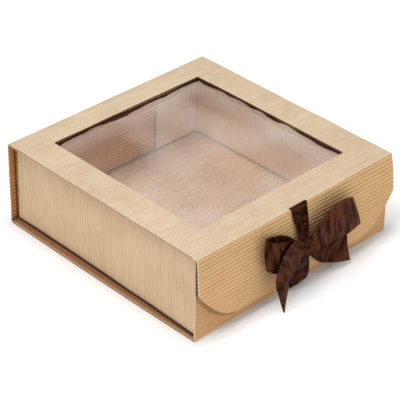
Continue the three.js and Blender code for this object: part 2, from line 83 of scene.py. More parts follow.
BASE_LOW, BASE_HIGH = box("base_panel")
LINER_LOW, LINER_HIGH = box("base_liner")
LID_LOW, LID_HIGH = box("lid_panel")
FLAP_LOW, FLAP_HIGH = box("front_flap")
FILM_LOW, FILM_HIGH = box("window_film")
WALL_LOW, WALL_HIGH = box("right_side_wall")
KNOT_LOW, KNOT_HIGH = box("bow_knot")
KNOT = (KNOT_LOW + KNOT_HIGH) / 2
FRONT_WALL_TOP = float(box("front_wall")[1][2])
HALF = float(LID_HIGH[0])
TRAY_FRONT, TRAY_BACK = float(BASE_LOW[1]), float(BASE_HIGH[1])
CREASE = float(LID_LOW[1])
TOP = float(LID_HIGH[2])


# Settings


def length_of(name, description, millimetres):
    """A length among the settings, given in millimetres."""
    return FloatProperty(name=name, description=description, default=millimetres * MM, unit="LENGTH")


def angle_of(name, description, degrees):
    """An angle among the settings, given in degrees."""
    return FloatProperty(name=name, description=description, default=math.radians(degrees), subtype="ANGLE")


def colour_of(name, description, text):
    """A colour among the settings, given as an sRGB hex colour."""
    return FloatVectorProperty(
        name=name, description=description, default=hex_colour(text), subtype="COLOR", size=4
    )


class GiftBoxCard(PropertyGroup):
    """Sizes of the card, its folds and its ribs."""

    card: length_of("Card", "Thickness of the folded card", 1.5)
    fold: length_of("Fold", "Outer radius of a crease", 1.7)
    seam: length_of("Seam", "How far below a bend its panel's ribs stop", 0.15)
    pitch: length_of("Rib pitch", "From one fine rib to the next", 2.1)
    depth: length_of("Rib depth", "Depth between fine ribs", 0.26)
    broad_pitch: length_of("Broad pitch", "From one broad rib to the next", 3.2)
    broad_depth: length_of("Broad depth", "Depth between broad ribs", 0.42)
    fade: length_of("Rib fade", "Length over which a crease flattens the ribs", 0.45)
    lean: length_of("Front lean", "How far the front wall's top leans in, and the crease with it", 1.0)
    warp: length_of("Warp", "How far the card strays from flat", 0.18)
    samples: IntProperty(
        name="Rib samples", description="Rows of faces across one rib", default=8, min=4, max=16
    )


class GiftBoxWindow(PropertyGroup):
    """Sizes of the window and its film."""

    side: length_of("Side border", "Lid beside the window", 26)
    front: length_of("Front border", "Lid before the window", 26)
    back: length_of("Back border", "Lid behind the window", 22.5)
    film: length_of("Film", "Thickness of the film", 0.18)
    sag: length_of("Sag", "How far the film hangs below its tape", 1.2)
    ripple: length_of("Ripple", "Height of the film's waves", 0.9)
    held: length_of("Held edge", "Width of film that the tape holds", 7)


class GiftBoxBow(PropertyGroup):
    """Sizes of the ribbon and its bow."""

    span: length_of("Span", "Size that the bow's shares are taken of", 100)
    thickness: length_of("Ribbon", "Thickness of the ribbon", 0.34)
    width: length_of("Width", "Width of the ribbon laid flat", 25)
    weave: length_of("Weave", "Spacing of the drawn threads", 2.5)


class GiftBoxFinish(PropertyGroup):
    """Colours of the lid's card and of the ribbon."""

    kraft: colour_of("Kraft crest", "Rib crests", "#e7d1b3")
    # The valley colour is painted shade between the ribs
    kraft_valley_shade: colour_of("Kraft valley", "Between ribs", "#a98258")
    satin: colour_of("Satin", "Ribbon threads", "#74452c")
    satin_dark: colour_of("Satin shade", "Between threads", "#1f0d07")


class GiftBoxStage(PropertyGroup):
    """Camera and light of the photograph."""

    azimuth: angle_of("Azimuth", "Camera heading", 45.2025)
    elevation: angle_of("Elevation", "Camera above the horizon", 33.6869)
    roll: angle_of("Roll", "Camera roll", 1.4846)
    place: FloatVectorProperty(
        name="Place", description="Camera place", default=(-0.731339, -0.728135, 0.711939),
        subtype="TRANSLATION", size=3,
    )
    lens: FloatProperty(name="Lens", description="Focal length in millimetres", default=148.494)
    ambient: FloatProperty(
        name="Ambient", description="Strength of the surrounding light", default=0.62, min=0
    )
    key: FloatProperty(name="Key", description="Power of the softbox above, in watts", default=8.3, min=0)


def settings():
    """The scene's settings groups: card, window, bow, finish and stage."""
    return tuple(getattr(bpy.context.scene, name) for name in GROUPS)


# Arrays


def smooth(value):
    """3x^2 - 2x^3 on the value held between 0 and 1."""
    x = np.clip(value, 0, 1)
    return x * x * (3 - 2 * x)


def ripples(a, b, length, seed, waves=6):
    """Sum of a few sine waves of about one length, in directions drawn from the seed, from about -1 to 1."""
    draw = np.random.RandomState(seed)
    total = np.zeros(np.broadcast(a, b).shape)
    for _ in range(waves):
        angle, phase, scale = draw.uniform(0, math.pi), draw.uniform(0, 2 * math.pi), draw.uniform(0.6, 1.5)
        total += np.sin((a * math.cos(angle) + b * math.sin(angle)) * 2 * math.pi / (length * scale) + phase)
    return total / math.sqrt(waves)


def straight(start, end, spacing):
    """Points start + share * (end - start), with the normal on the right of the way they go."""
    start, end = np.array(start, float), np.array(end, float)
    length = np.linalg.norm(end - start)
    share = np.linspace(0, 1, max(2, round(length / spacing) + 1))[:, None]
    along = (end - start) / length
    return start + share * (end - start), np.repeat([[along[1], -along[0]]], len(share), axis=0)


def bend(centre, radius, first, last, spacing):
    """Points centre + radius * (cos, sin) from the first angle to the last, with the normal outwards."""
    count = max(6, round(radius * abs(last - first) / spacing) + 1)
    angle = np.linspace(first, last, count)[:, None]
    normal = np.hstack([np.cos(angle), np.sin(angle)])
    return np.array(centre, float) + radius * normal, normal


def drawn(points):
    """A given line of points, with normals on its right worked out from its differences."""
    along = np.gradient(points, axis=0)
    along /= np.linalg.norm(along, axis=1, keepdims=True)
    return points, np.stack([along[:, 1], -along[:, 0]], axis=1)


def joined(*stretches):
    """Stretches end to end, without doubled points: the points, their normals and the distance run."""
    points, normals = [], []
    for line, normal in stretches:
        first = 1 if points else 0
        points.append(line[first:])
        normals.append(normal[first:])
    points, normals = np.vstack(points), np.vstack(normals)
    run = np.concatenate([[0], np.cumsum(np.linalg.norm(np.diff(points, axis=0), axis=1))])
    return points, normals, run


def ribs(run, start, end, pitch, fade_start, fade_end):
    """1 - |cos(pi * run / pitch)| between start and end with a whole number of ribs, faded out at creases."""
    count = max(1, round((end - start) / pitch))
    wave = 1 - np.abs(np.cos(np.pi * count * (run - start) / (end - start)))
    inside = (run >= start) & (run <= end)
    ramp_in = smooth((run - start) / fade_start) if fade_start else 1.0
    ramp_out = smooth((end - run) / fade_end) if fade_end else 1.0
    return np.where(inside, wave, 0) * ramp_in * ramp_out


def smooth_line(points, count):
    """Catmull-Rom curve through the points: each stretch is the cubic of its four nearest points."""
    points = np.asarray(points, float)
    padded = np.vstack([2 * points[0] - points[1], points, 2 * points[-1] - points[-2]])
    place = np.linspace(0, len(points) - 1, count)
    cell = np.minimum(place.astype(int), len(points) - 2)
    t = (place - cell)[:, None]
    a, b, c, d = (padded[cell + k] for k in range(4))
    return 0.5 * (2 * b + (c - a) * t + (2 * a - 5 * b + 4 * c - d) * t**2 + (3 * b - a - 3 * c + d) * t**3)


# Meshes


def slab(outer, inner, keep=None):
    """Closed slab between two grids of points: a face per kept cell on each, and walls round what is kept.

    Returns the points, the faces, the row and column of each point, its share through the slab, and
    1 for a wall at the end of the rows, 0.5 for a wall along them and 0 for a face of the sheet.
    """
    rows, cols = outer.shape[:2]
    index = np.arange(rows * cols).reshape(rows, cols)
    keep = np.ones((rows - 1, cols - 1), bool) if keep is None else keep
    ring = [index[:-1, :-1], index[1:, :-1], index[1:, 1:], index[:-1, 1:]]
    under = rows * cols
    faces = [np.stack(ring, axis=-1)[keep], np.stack(ring[::-1], axis=-1)[keep] + under]
    kinds = [np.zeros(len(faces[0])), np.zeros(len(faces[1]))]
    padded = np.pad(keep, 1)
    beside = [padded[1:-1, :-2], padded[2:, 1:-1], padded[1:-1, 2:], padded[:-2, 1:-1]]
    for side in range(4):
        bare = keep & ~beside[side]
        first, second = ring[side][bare], ring[(side + 1) % 4][bare]
        faces.append(np.stack([second, first, first + under, second + under], axis=-1))
        kinds.append(np.full(len(first), 1.0 if side % 2 == 0 else 0.5))
    faces, kinds = np.vstack(faces), np.concatenate(kinds)
    used, faces = np.unique(faces, return_inverse=True)
    faces = faces.reshape(-1, 4)
    points = np.vstack([outer.reshape(-1, 3), inner.reshape(-1, 3)])[used]
    row, col = np.divmod(used % under, cols)
    return points, faces, row, col, (used >= under).astype(float), kinds


def outward(points, faces):
    """The faces, turned over if they enclose a negative volume."""
    a, b, c, d = (points[faces[:, k]] for k in range(4))
    volume = (a * np.cross(b, c)).sum() + (a * np.cross(c, d)).sum()
    return faces if volume > 0 else faces[:, ::-1]


def new_piece(name, points, faces, values=(), face_values=(), uv=None, sharp=50):
    """A mesh object at the origin from points and four-sided faces, with float attributes and a UV map."""
    faces = outward(points, faces)
    mesh = bpy.data.meshes.new(name)
    mesh.vertices.add(len(points))
    mesh.vertices.foreach_set("co", points.astype(np.float32).ravel())
    mesh.loops.add(faces.size)
    mesh.loops.foreach_set("vertex_index", faces.astype(np.int32).ravel())
    mesh.polygons.add(len(faces))
    mesh.polygons.foreach_set("loop_start", np.arange(0, faces.size, 4, dtype=np.int32))
    mesh.update(calc_edges=True)
    mesh.polygons.foreach_set("use_smooth", np.ones(len(faces), bool))
    for key, value in dict(values).items():
        flat = np.asarray(value, np.float32)
        kind, slot = ("FLOAT", "value") if flat.ndim == 1 else ("FLOAT_VECTOR", "vector")
        mesh.attributes.new(key, kind, "POINT").data.foreach_set(slot, flat.ravel())
    for key, value in dict(face_values).items():
        mesh.attributes.new(key, "FLOAT", "FACE").data.foreach_set("value", np.asarray(value, np.float32))
    if uv is not None:
        mesh.uv_layers.new(name="UVMap").data.foreach_set("uv", uv[faces].astype(np.float32).ravel())
    mesh.set_sharp_from_angle(angle=math.radians(sharp))
    piece = bpy.data.objects.new(name, mesh)
    bpy.context.scene.collection.objects.link(piece)
    return piece


WARP_HELD, WARP_LENGTH, SHADE_INSET = 12 * MM, 55 * MM, 5 * MM


def sheet_piece(
    name, line, normal, run, across, plane, thickness, sink, inner_sink, valley, pitch, seed,
    keep=None, lift=0.0, marks=(), deep=(0.0, 0.0), warp=1.0,
):
    """A card sheet: a line of points in one plane, carried along the third axis and given its thickness.

    outer = line + (warp + lift) * normal - sink * normal, and inner = outer line - (thickness - inner_sink)
    * normal. The warp dies out towards both ends of the line, where another sheet can follow. The places
    across it are one number per column, or one per row and column. Marks are further grids of values for
    the material, and deep is the range of Y in which cut edges lie in deep shade.
    """
    card = settings()[0]
    across = np.broadcast_to(across, (len(line), np.shape(across)[-1]))
    held = smooth(np.minimum(run, run[-1] - run) / WARP_HELD)[:, None]
    warp = lift + warp * held * card.warp * ripples(run[:, None], across, WARP_LENGTH, seed)
    moved = warp[..., None] * normal[:, None, :]
    grids = []
    for depth in (sink, thickness - inner_sink):
        flat = line[:, None, :] + moved - (depth[:, None] * normal)[:, None, :]
        grid = np.empty((*across.shape, 3))
        if plane == "yz":
            grid[..., 0], grid[..., 1], grid[..., 2] = across, flat[..., 0], flat[..., 1]
        else:
            grid[..., 0], grid[..., 1], grid[..., 2] = flat[..., 0], flat[..., 1], across
        grids.append(grid)
    points, faces, row, col, through, cut = slab(*grids, keep)
    pitches = np.full(len(row), pitch / MM)
    values = {"run": run[row] / MM, "through": through, "valley": valley[row], "pitch": pitches}
    for key, grid in dict(marks).items():
        values[key] = np.broadcast_to(grid, across.shape)[row, col]
    place = points[faces].mean(axis=1)
    inside = (np.abs(place[:, 0]) < HALF - SHADE_INSET) & (place[:, 1] > deep[0]) & (place[:, 1] < deep[1])
    face_values = {"cut": cut, "deep": ((cut > 0) & inside).astype(float)}
    uv = np.stack([across[row, col], run[row]], axis=1) / (2 * HALF)
    return new_piece(name, points, faces, values, face_values, uv)


# Materials


def add(tree, kind, inputs=(), out=0, **values):
    """Adds a shader node with its values, sets or links its inputs, and gives one of its outputs.

    The inputs stand in order in a tuple, or by name or number in a dict.
    """
    node = tree.nodes.new("ShaderNode" + kind)
    for key, value in values.items():
        setattr(node, key, value)
    for key, value in inputs.items() if isinstance(inputs, dict) else enumerate(inputs):
        if isinstance(value, bpy.types.NodeSocket):
            tree.links.new(value, node.inputs[key])
        else:
            node.inputs[key].default_value = value
    return node.outputs[out] if len(node.outputs) else None


def blank_material(name):
    """A material without nodes, and its node tree."""
    material = bpy.data.materials.get(name) or bpy.data.materials.new(name)
    material.use_nodes = True
    material.node_tree.nodes.clear()
    return material, material.node_tree


# Real sizes of the card's patterns. Its fibres are drawn as bundles, about twenty times as wide as one
# fibre, so that they show.
FIBRE_LENGTH, FIBRE_WIDTH = 9 * MM, 0.9 * MM
CLOUD_SIZE, FLECK_SPACING, GRAIN_SIZE = 26 * MM, 9 * MM, 0.5 * MM


def kraft_material(
    name, crest, valley_shade, contrast, fibre_scale, inside, outside="#ffffff", bare="#ffffff",
    groove_shade="#ffffff", pale=None, pale_inside=False, mouths=0.75, edge="#f2e2c8", foot_on=None,
):
    """Kraft board with a washboard face, rolled from long unbleached fibres.

    The eye gets a matt tan with painted shade in its rib valleys, faint long fibres, a few dark specks and
    cloudy tone, an inside face in another tone, pale raw edges with rows of small flute mouths painted dark
    as shade, painted shade lines where sheets meet, cut edges round the window painted dark as deep shade,
    and strips beside the walls painted browner as shade. The shade lines lie on both faces, or only on the
    inside or the outside.
    """
    material, tree = blank_material(name)
    place = add(tree, "TexCoord", out="Object")
    valley, run, through, pitch, cut, deep, strip_shade, foot, towards_lid = (
        add(tree, "Attribute", out="Fac", attribute_name=key)
        for key in ("valley", "run", "through", "pitch", "cut", "deep", "bare", "foot", "pale")
    )
    fibres = add(tree, "Mapping", {"Vector": place, "Scale": fibre_scale})
    fibre = add(tree, "TexNoise", {"Vector": fibres, "Scale": 1.0, "Detail": 3.0}, "Fac")
    uneven = add(tree, "TexNoise", {"Vector": fibres, "Scale": 0.25, "Detail": 2.0}, "Fac")
    cloud = add(tree, "TexNoise", {"Vector": place, "Scale": 1 / CLOUD_SIZE, "Detail": 3.0}, "Fac")
    grain = add(tree, "TexNoise", {"Vector": place, "Scale": 1 / GRAIN_SIZE, "Detail": 4.0}, "Fac")
    specks = {"Vector": place, "Scale": 1 / FLECK_SPACING, "Randomness": 1.0}
    fleck = add(tree, "TexVoronoi", specks, "Distance")
    fleck = add(tree, "MapRange", (fleck, 0.03, 0.06, 0.5, 0.0))
    turned = add(tree, "Math", (through, 0.5), operation="GREATER_THAN")
    end = add(tree, "Math", (cut, 0.75), operation="GREATER_THAN")

    # Painted shade in the rib valleys, its strength varied unevenly by noise, with fibres and clouds over them
    strength = add(tree, "MapRange", (uneven, 0.3, 0.7, 0.75 * contrast, 1.25 * contrast))
    shade = add(tree, "Math", (valley, strength), operation="MULTIPLY")
    for noise, share in ((fibre, 0.5), (cloud, 0.45)):
        spread = add(tree, "Math", (noise, 0.5), operation="SUBTRACT")
        shade = add(tree, "Math", (spread, share, shade), operation="MULTIPLY_ADD")
    if pale:
        share = add(tree, "Math", (towards_lid, turned), operation="MAXIMUM") if pale_inside else towards_lid
        crest, valley_shade = (
            add(tree, "Mix", {0: share, 6: own, 7: lid}, 2, data_type="RGBA")
            for own, lid in zip((crest, valley_shade), pale)
        )
    colour = add(tree, "Mix", {0: shade, 6: crest, 7: valley_shade}, 2, data_type="RGBA")
    face = add(tree, "Mix", {0: turned, 6: hex_colour(outside), 7: hex_colour(inside)}, 2, data_type="RGBA")

    # Flute mouths in a cut edge, painted dark as the shade inside them: what lies between the two flat liners,
    # clear of the wavy sheet between them
    phase = add(tree, "Math", (run, pitch), operation="DIVIDE")
    turn = add(tree, "Math", (phase, 2 * math.pi), operation="MULTIPLY")
    swing = add(tree, "Math", (turn,), operation="SINE")
    medium = add(tree, "Math", (swing, 0.26, 0.5), operation="MULTIPLY_ADD")
    clear = []
    for middle, gap, side in ((medium, 0.11, "GREATER_THAN"), (0.5, 0.36, "LESS_THAN")):
        past = add(tree, "Math", (through, middle), operation="SUBTRACT")
        past = add(tree, "Math", (past,), operation="ABSOLUTE")
        clear.append(add(tree, "Math", (past, gap), operation=side))

    # Tones laid over one another, each with the factors whose product is its strength; the marked ones are
    # painted shade
    facing_out = add(tree, "Math", (1.0, turned), operation="SUBTRACT")
    shade_lines_face = {None: 1.0, "inside": turned, "outside": facing_out}[foot_on]
    layers = (
        ((1.0,), face, "MULTIPLY"),
        # Painted shade: the bare strips beside the walls, browner, with darker grooves
        ((strip_shade,), hex_colour(bare), "MULTIPLY"),
        ((strip_shade, valley), hex_colour(groove_shade), "MULTIPLY"),
        ((fleck,), hex_colour("#7d5a3a"), "MIX"),
        ((end, 0.75), hex_colour(edge), "MIX"),
        # Painted shade in the flute mouths of cut edges
        ((end, mouths, valley), hex_colour("#7c4f2a"), "MIX"),
        # Painted shade lines where sheets meet, and the flap's painted shade on the front wall
        ((foot, shade_lines_face, 0.95), hex_colour("#1c0d07"), "MIX"),
        ((*clear, end, mouths), hex_colour("#5a3a22"), "MIX"),
        # Painted deep shade on the cut edges round the window
        ((deep, 0.9), hex_colour("#3c2212"), "MIX"),
    )
    for factors, tone, blend in layers:
        share = factors[0]
        for factor in factors[1:]:
            share = add(tree, "Math", (share, factor), operation="MULTIPLY")
        colour = add(tree, "Mix", {0: share, 6: colour, 7: tone}, 2, data_type="RGBA", blend_type=blend)
    bump = add(tree, "Bump", {"Strength": 0.25, "Distance": 0.05 * MM, "Height": grain})
    looks = {"Base Color": colour, "Roughness": 0.85, "Specular IOR Level": 0.2, "Normal": bump}
    add(tree, "OutputMaterial", (add(tree, "BsdfPrincipled", looks),))
    return material


# Sizes of the film's looks: its clouds, the paler border inside the window, and the waves of its painted shade
# line
FILM_CLOUD, FILM_BORDER, FILM_WAVE = 75 * MM, 24 * MM, 24 * MM
FILM_EDGE_LOW, FILM_EDGE_HIGH, FILM_EDGE_SOFT = 0.2 * MM, 2.9 * MM, 0.25 * MM
FILM_EDGE_UNDER, FILM_RIGHT_SHIFT = 1.6 * MM, 1.5 * MM


def film_material(back, right):
    """Clear polyester film, cast smooth: white gleams, soft clouds of a milky veil, and clear elsewhere.

    Its gloss rises towards grazing sight as 0.02 + 0.96 * facing^5. A dark diffuse line of wavy width is
    painted shade of the gap under the window's back and right edges, where the film leaves the card.
    """
    material, tree = blank_material("cast_polyester_film")
    place = add(tree, "TexCoord", out="Object")
    x, y, _ = add(tree, "SeparateXYZ", (place,)).node.outputs
    facing = add(tree, "LayerWeight", {"Blend": 0.5}, "Facing")
    grazing = add(tree, "Math", (facing, 5.0), operation="POWER")
    gleam = add(tree, "Math", (grazing, 0.96, 0.02), operation="MULTIPLY_ADD")
    back_gap = add(tree, "Math", (back, y), operation="SUBTRACT")
    right_gap = add(tree, "Math", (right, x), operation="SUBTRACT")
    shifted = add(tree, "Math", (right_gap, FILM_RIGHT_SHIFT), operation="ADD")
    gap = add(tree, "Math", (back_gap, shifted), operation="MINIMUM")
    cloud = add(tree, "TexNoise", {"Vector": place, "Scale": 1 / FILM_CLOUD, "Detail": 1.5}, "Fac")
    haze = add(tree, "MapRange", (cloud, 0.44, 0.66, 0.02, 0.22))
    near = add(tree, "MapRange", (gap, 0.0, FILM_BORDER, 0.12, 0.0))
    haze = add(tree, "Math", (haze, near), operation="ADD")
    # Painted shade: a dark diffuse line of wavy width inside the window's back and right edges
    wave = add(tree, "TexNoise", {"Vector": place, "Scale": 1 / FILM_WAVE, "Detail": 1.0}, "Fac")
    reach = add(tree, "MapRange", (wave, 0.38, 0.64, FILM_EDGE_LOW, FILM_EDGE_HIGH))
    past = add(tree, "Math", (gap, reach), operation="SUBTRACT")
    rim = add(tree, "MapRange", (past, -FILM_EDGE_SOFT, FILM_EDGE_SOFT, 0.94, 0.0))
    open_gap = add(tree, "Math", (back_gap, right_gap), operation="MINIMUM")
    open_part = add(tree, "Math", (open_gap, -FILM_EDGE_UNDER), operation="GREATER_THAN")
    rim = add(tree, "Math", (rim, open_part), operation="MULTIPLY")
    film = add(tree, "BsdfTransparent", {"Color": hex_colour("#fdfdfd")})
    veil = add(tree, "BsdfDiffuse", {"Color": hex_colour("#f6e9de")})
    gloss = add(tree, "BsdfGlossy", {"Color": hex_colour("#ffffff"), "Roughness": 0.05})
    dark = add(tree, "BsdfDiffuse", {"Color": hex_colour("#472a16")})
    for share, over in ((haze, veil), (gleam, gloss), (rim, dark)):
        film = add(tree, "MixShader", (share, film, over))
    add(tree, "OutputMaterial", (film,))
    return material


def tape_material():
    """Double-sided paper tape, with a dry matt back of short fibres."""
    material, tree = blank_material("paper_tape")
    place = add(tree, "TexCoord", out="Object")
    fibre = add(tree, "TexNoise", {"Vector": place, "Scale": 1 / (0.8 * MM), "Detail": 4.0}, "Fac")
    ends = {0: fibre, 6: hex_colour("#efe9da"), 7: hex_colour("#d8cfba")}
    colour = add(tree, "Mix", ends, 2, data_type="RGBA")
    bump = add(tree, "Bump", {"Strength": 0.3, "Distance": 0.05 * MM, "Height": fibre})
    paper = add(tree, "BsdfPrincipled", {"Base Color": colour, "Roughness": 0.7, "Normal": bump})
    add(tree, "OutputMaterial", (paper,))
    return material


# The satin's lighter and darker bands, painted sheen of its folds, along and across the ribbon. Its drawn
# threads are spaced as the settings say
SHEEN_BAND_LENGTH, SHEEN_BAND_WIDTH = 4.545 * MM, 16.67 * MM


def satin_material(weave, light, dark):
    """Woven satin ribbon, whose long warp threads float over the weft.

    The eye gets a deep brown with a soft reddish sheen across the threads, lighter and darker bands across
    the ribbon painted as the sheen and shade of its folds, and fine crossing thread lines, drawn coarser than
    the real ones so that they show. A piece can be painted darker or lighter, as shade or light on it.
    """
    material, tree = blank_material("woven_satin")
    threads = add(tree, "Attribute", out="Vector", attribute_name="threads")
    along, across, painted_shade = add(tree, "SeparateXYZ", (threads,)).node.outputs
    step = 2 * math.pi * MM / weave
    slanted = [add(tree, "Math", (along, lean, across), operation="MULTIPLY_ADD") for lean in (1.0, -0.55)]
    waves = []
    for distance, rate in (*((row, step) for row in slanted), (across, 3.1 * step)):
        turn = add(tree, "Math", (distance, rate), operation="MULTIPLY")
        waves.append(add(tree, "Math", (turn,), operation="SINE"))
    crossing = add(tree, "Math", waves[:2], operation="MAXIMUM")
    height = add(tree, "Math", (waves[2], 0.25, crossing), operation="MULTIPLY_ADD")
    shade = add(tree, "MapRange", (height, -0.2, 1.25, 0.0, 1.0))
    # Painted sheen: lighter and darker bands of the base colour stand in for light caught by the folds
    bands = add(tree, "Mapping", {"Vector": threads, "Scale": (MM / SHEEN_BAND_LENGTH, MM / SHEEN_BAND_WIDTH, 1.0)})
    band = add(tree, "TexNoise", {"Vector": bands, "Scale": 1.0, "Detail": 2.0}, "Fac")
    painted_sheen = add(tree, "MapRange", (band, 0.38, 0.6, 0.12, 1.3))
    bright = add(tree, "Math", (shade, painted_sheen), operation="MULTIPLY")
    # A piece's painted shade darkens its colour, and a negative one lightens it
    unshaded = add(tree, "Math", (1.0, painted_shade), operation="SUBTRACT")
    bright = add(tree, "Math", (bright, unshaded), operation="MULTIPLY")
    looks = {
        "Base Color": add(tree, "Mix", {0: bright, 6: dark, 7: light}, 2, data_type="RGBA"),
        "Metallic": 0.3,
        "Roughness": 0.42,
        "Specular IOR Level": 0.04,
        "Specular Tint": hex_colour("#c98a68"),
        "Anisotropic": 0.6,
        "Tangent": add(tree, "Tangent", direction_type="UV_MAP", uv_map="UVMap"),
        "Normal": add(tree, "Bump", {"Strength": 0.6, "Distance": 0.12 * MM, "Height": shade}),
    }
    add(tree, "OutputMaterial", (add(tree, "BsdfPrincipled", looks),))


def finish(piece, material, slot, *nodes):
    """Gives a piece its material and hides the frame nodes that it stands for. The slot is not used."""
    piece.data.materials.clear()
    piece.data.materials.append(material)
    if nodes:
        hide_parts(*nodes)


def toned(colour, tone):
    """A linear colour times a hex colour."""
    return (*(a * b for a, b in zip(tuple(colour)[:3], hex_colour(tone)[:3])), 1.0)


def fine_kraft(name, direction=0, contrast=0.55, lit=False, **tones):
    """Kraft for the fine-ribbed panels, with fibres along X, or Z for direction 2. A lit one is paler."""
    colours = settings()[3]
    scale = [1 / FIBRE_WIDTH] * 3
    scale[direction] = 1 / FIBRE_LENGTH
    pair = (hex_colour("#ffe6ca"), hex_colour("#c19468")) if lit else (colours.kraft, colours.kraft_valley_shade)
    return kraft_material(name, *pair, contrast, scale, **{"inside": "#fff4ea", **tones})


def broad_kraft(name, contrast=0.55, inside="#e6cdb0", tone="#ffffff", **others):
    """Kraft for the broad-ribbed panels, browner, with painted shade in its deeper valleys, and pale where it
    reaches the lid.
    """
    colours = settings()[3]
    scale = (1 / FIBRE_LENGTH, 1 / FIBRE_WIDTH, 1 / FIBRE_WIDTH)
    pair = toned(hex_colour("#edc28c"), tone), toned(hex_colour("#b4804e"), tone)
    pale = colours.kraft, colours.kraft_valley_shade
    return kraft_material(name, *pair, contrast, scale, inside, pale=pale, **others)


# Card


def columns(*edges, spacing=7 * MM):
    """Places across a sheet that hit every edge, at about one spacing."""
    stretches = [
        np.linspace(low, high, max(2, round((high - low) / spacing) + 1))
        for low, high in zip(edges[:-1], edges[1:])
    ]
    return np.unique(np.concatenate(stretches).round(9))


def end_columns(edge, fine, coarse=0.07):
    """Shares from -1 to 1 across a sheet, close together beyond the edge share and far apart between."""
    far = columns(edge, 1, spacing=fine)
    return np.unique(np.concatenate([-far, columns(-edge, edge, spacing=coarse), far]).round(9))


# Painted shade lines where two sheets meet, each with its strength, its place and its width
OUTER_FOOT = (1.0, 0.3 * MM, 1.3 * MM)
INNER_FOOT = (0.5, -1.9 * MM, 0.6 * MM)
BACK_FOOT = (0.55, -3.0 * MM, 1.0 * MM)
SPINE_SIDE = (1.0, 0.0, 0.9 * MM)
SPINE_FOOT = (1.0, 3.0 * MM, 0.8 * MM)
TAB_END = (0.6, 0.0, 0.5 * MM)
REAR_CORNER = (0.8, 0.0, 0.8 * MM)

# Where the spine's bare strips start outside the side walls, and how softly all bare strips start. The bare
# strips are painted browner, as shade
SPINE_GAP, BARE_EDGE = 0.4 * MM, 1 * MM


def line_mark(distance, strength, place, width):
    """A painted shade line across a distance, strength * exp(-((distance - place) / width)^2)."""
    return strength * np.exp(-(((distance - place) / width) ** 2))


def seam_heights():
    """Heights where the upright panels meet the bottom and the top folds."""
    card = settings()[0]
    return card.fold + card.seam, TOP - card.fold


WALL_INSET_FRONT, WALL_INSET_BACK, WALL_BOW = 2.8 * MM, 5.6 * MM, 0.8 * MM


def wall_place(y):
    """How far a side wall stands from the middle: straight from front to back, less 4 * bow * s * (1 - s)."""
    share = (y - TRAY_FRONT) / (TRAY_BACK - TRAY_FRONT)
    line = HALF - WALL_INSET_FRONT - (WALL_INSET_BACK - WALL_INSET_FRONT) * share
    return line - 4 * WALL_BOW * share * (1 - share)


class GIFTBOX_OT_base(Operator):
    """Make the base card with its two bottom folds, and the ply that lies in it"""

    bl_idname = "giftbox.base"
    bl_label = "Base"

    def execute(self, context):
        card = settings()[0]
        low, _ = seam_heights()
        step = card.pitch / card.samples
        across = columns(-1, 1, spacing=0.05)
        front, back, fold = TRAY_FRONT, TRAY_BACK, card.fold
        # A profile in Y and Z, down, along and up again, whose half width is HALF + bow * (1 - (y / back)^2)
        line, normal, run = joined(
            straight((front, low), (front, fold), step),
            bend((front + fold, fold), fold, math.pi, 1.5 * math.pi, step),
            straight((front + fold, 0), (back - fold, 0), step),
            bend((back - fold, fold), fold, 1.5 * math.pi, 2 * math.pi, step),
            straight((back, fold), (back, low), step),
        )
        bow = float(BASE_HIGH[0]) - HALF
        reach = HALF + bow * (1 - (line[:, :1] / back) ** 2)
        start = card.seam + fold * math.pi / 2
        valley = ribs(run, start, run[-1] - start, card.pitch, card.fade, card.fade)
        piece = sheet_piece(
            "base_card", line, normal, run, across * reach, "yz", card.card,
            0.5 * card.depth * valley, 0.5 * card.depth * valley, valley, card.pitch, 11, warp=0.0,
        )
        finish(piece, fine_kraft("kraft_base", edge="#c79c6e"), "ribbed_card", "base_panel")
        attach(piece, "tray")

        # The ply, flat inside the folds and painted paler, as light. Outside the walls it is painted browner
        # as shade, and painted shade lines follow their feet
        low, high = float(LINER_LOW[2]), float(LINER_HIGH[2])
        line, normal, run = joined(straight((back - fold, high), (front + fold, high), step))
        reach = float(LINER_HIGH[0]) - bow + bow * (1 - (line[:, :1] / back) ** 2)
        valley = ribs(run, 0, run[-1], card.pitch, 0, 0)
        grid = end_columns(0.93, 0.005) * reach
        past_wall = np.abs(grid) - wall_place(line[:, :1])
        behind = np.broadcast_to(line[:, :1] - back, grid.shape)
        lines = (
            line_mark(past_wall, *OUTER_FOOT), line_mark(past_wall, *INNER_FOOT), line_mark(behind, *BACK_FOOT)
        )
        piece = sheet_piece(
            "base_ply", line, normal, run, grid, "yz", high - low,
            card.depth * valley, 0 * valley, valley, card.pitch, 11, warp=0.5,
            marks={"bare": smooth((past_wall + BARE_EDGE) / BARE_EDGE), "foot": np.maximum.reduce(lines)},
        )
        tones = {"bare": "#ad8a72", "edge": "#ecc894", "groove_shade": "#8c7462"}
        material = fine_kraft("kraft_floor", contrast=0.75, lit=True, **tones)
        finish(piece, material, "ribbed_card", "base_liner")
        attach(piece, "tray")
        return {"FINISHED"}


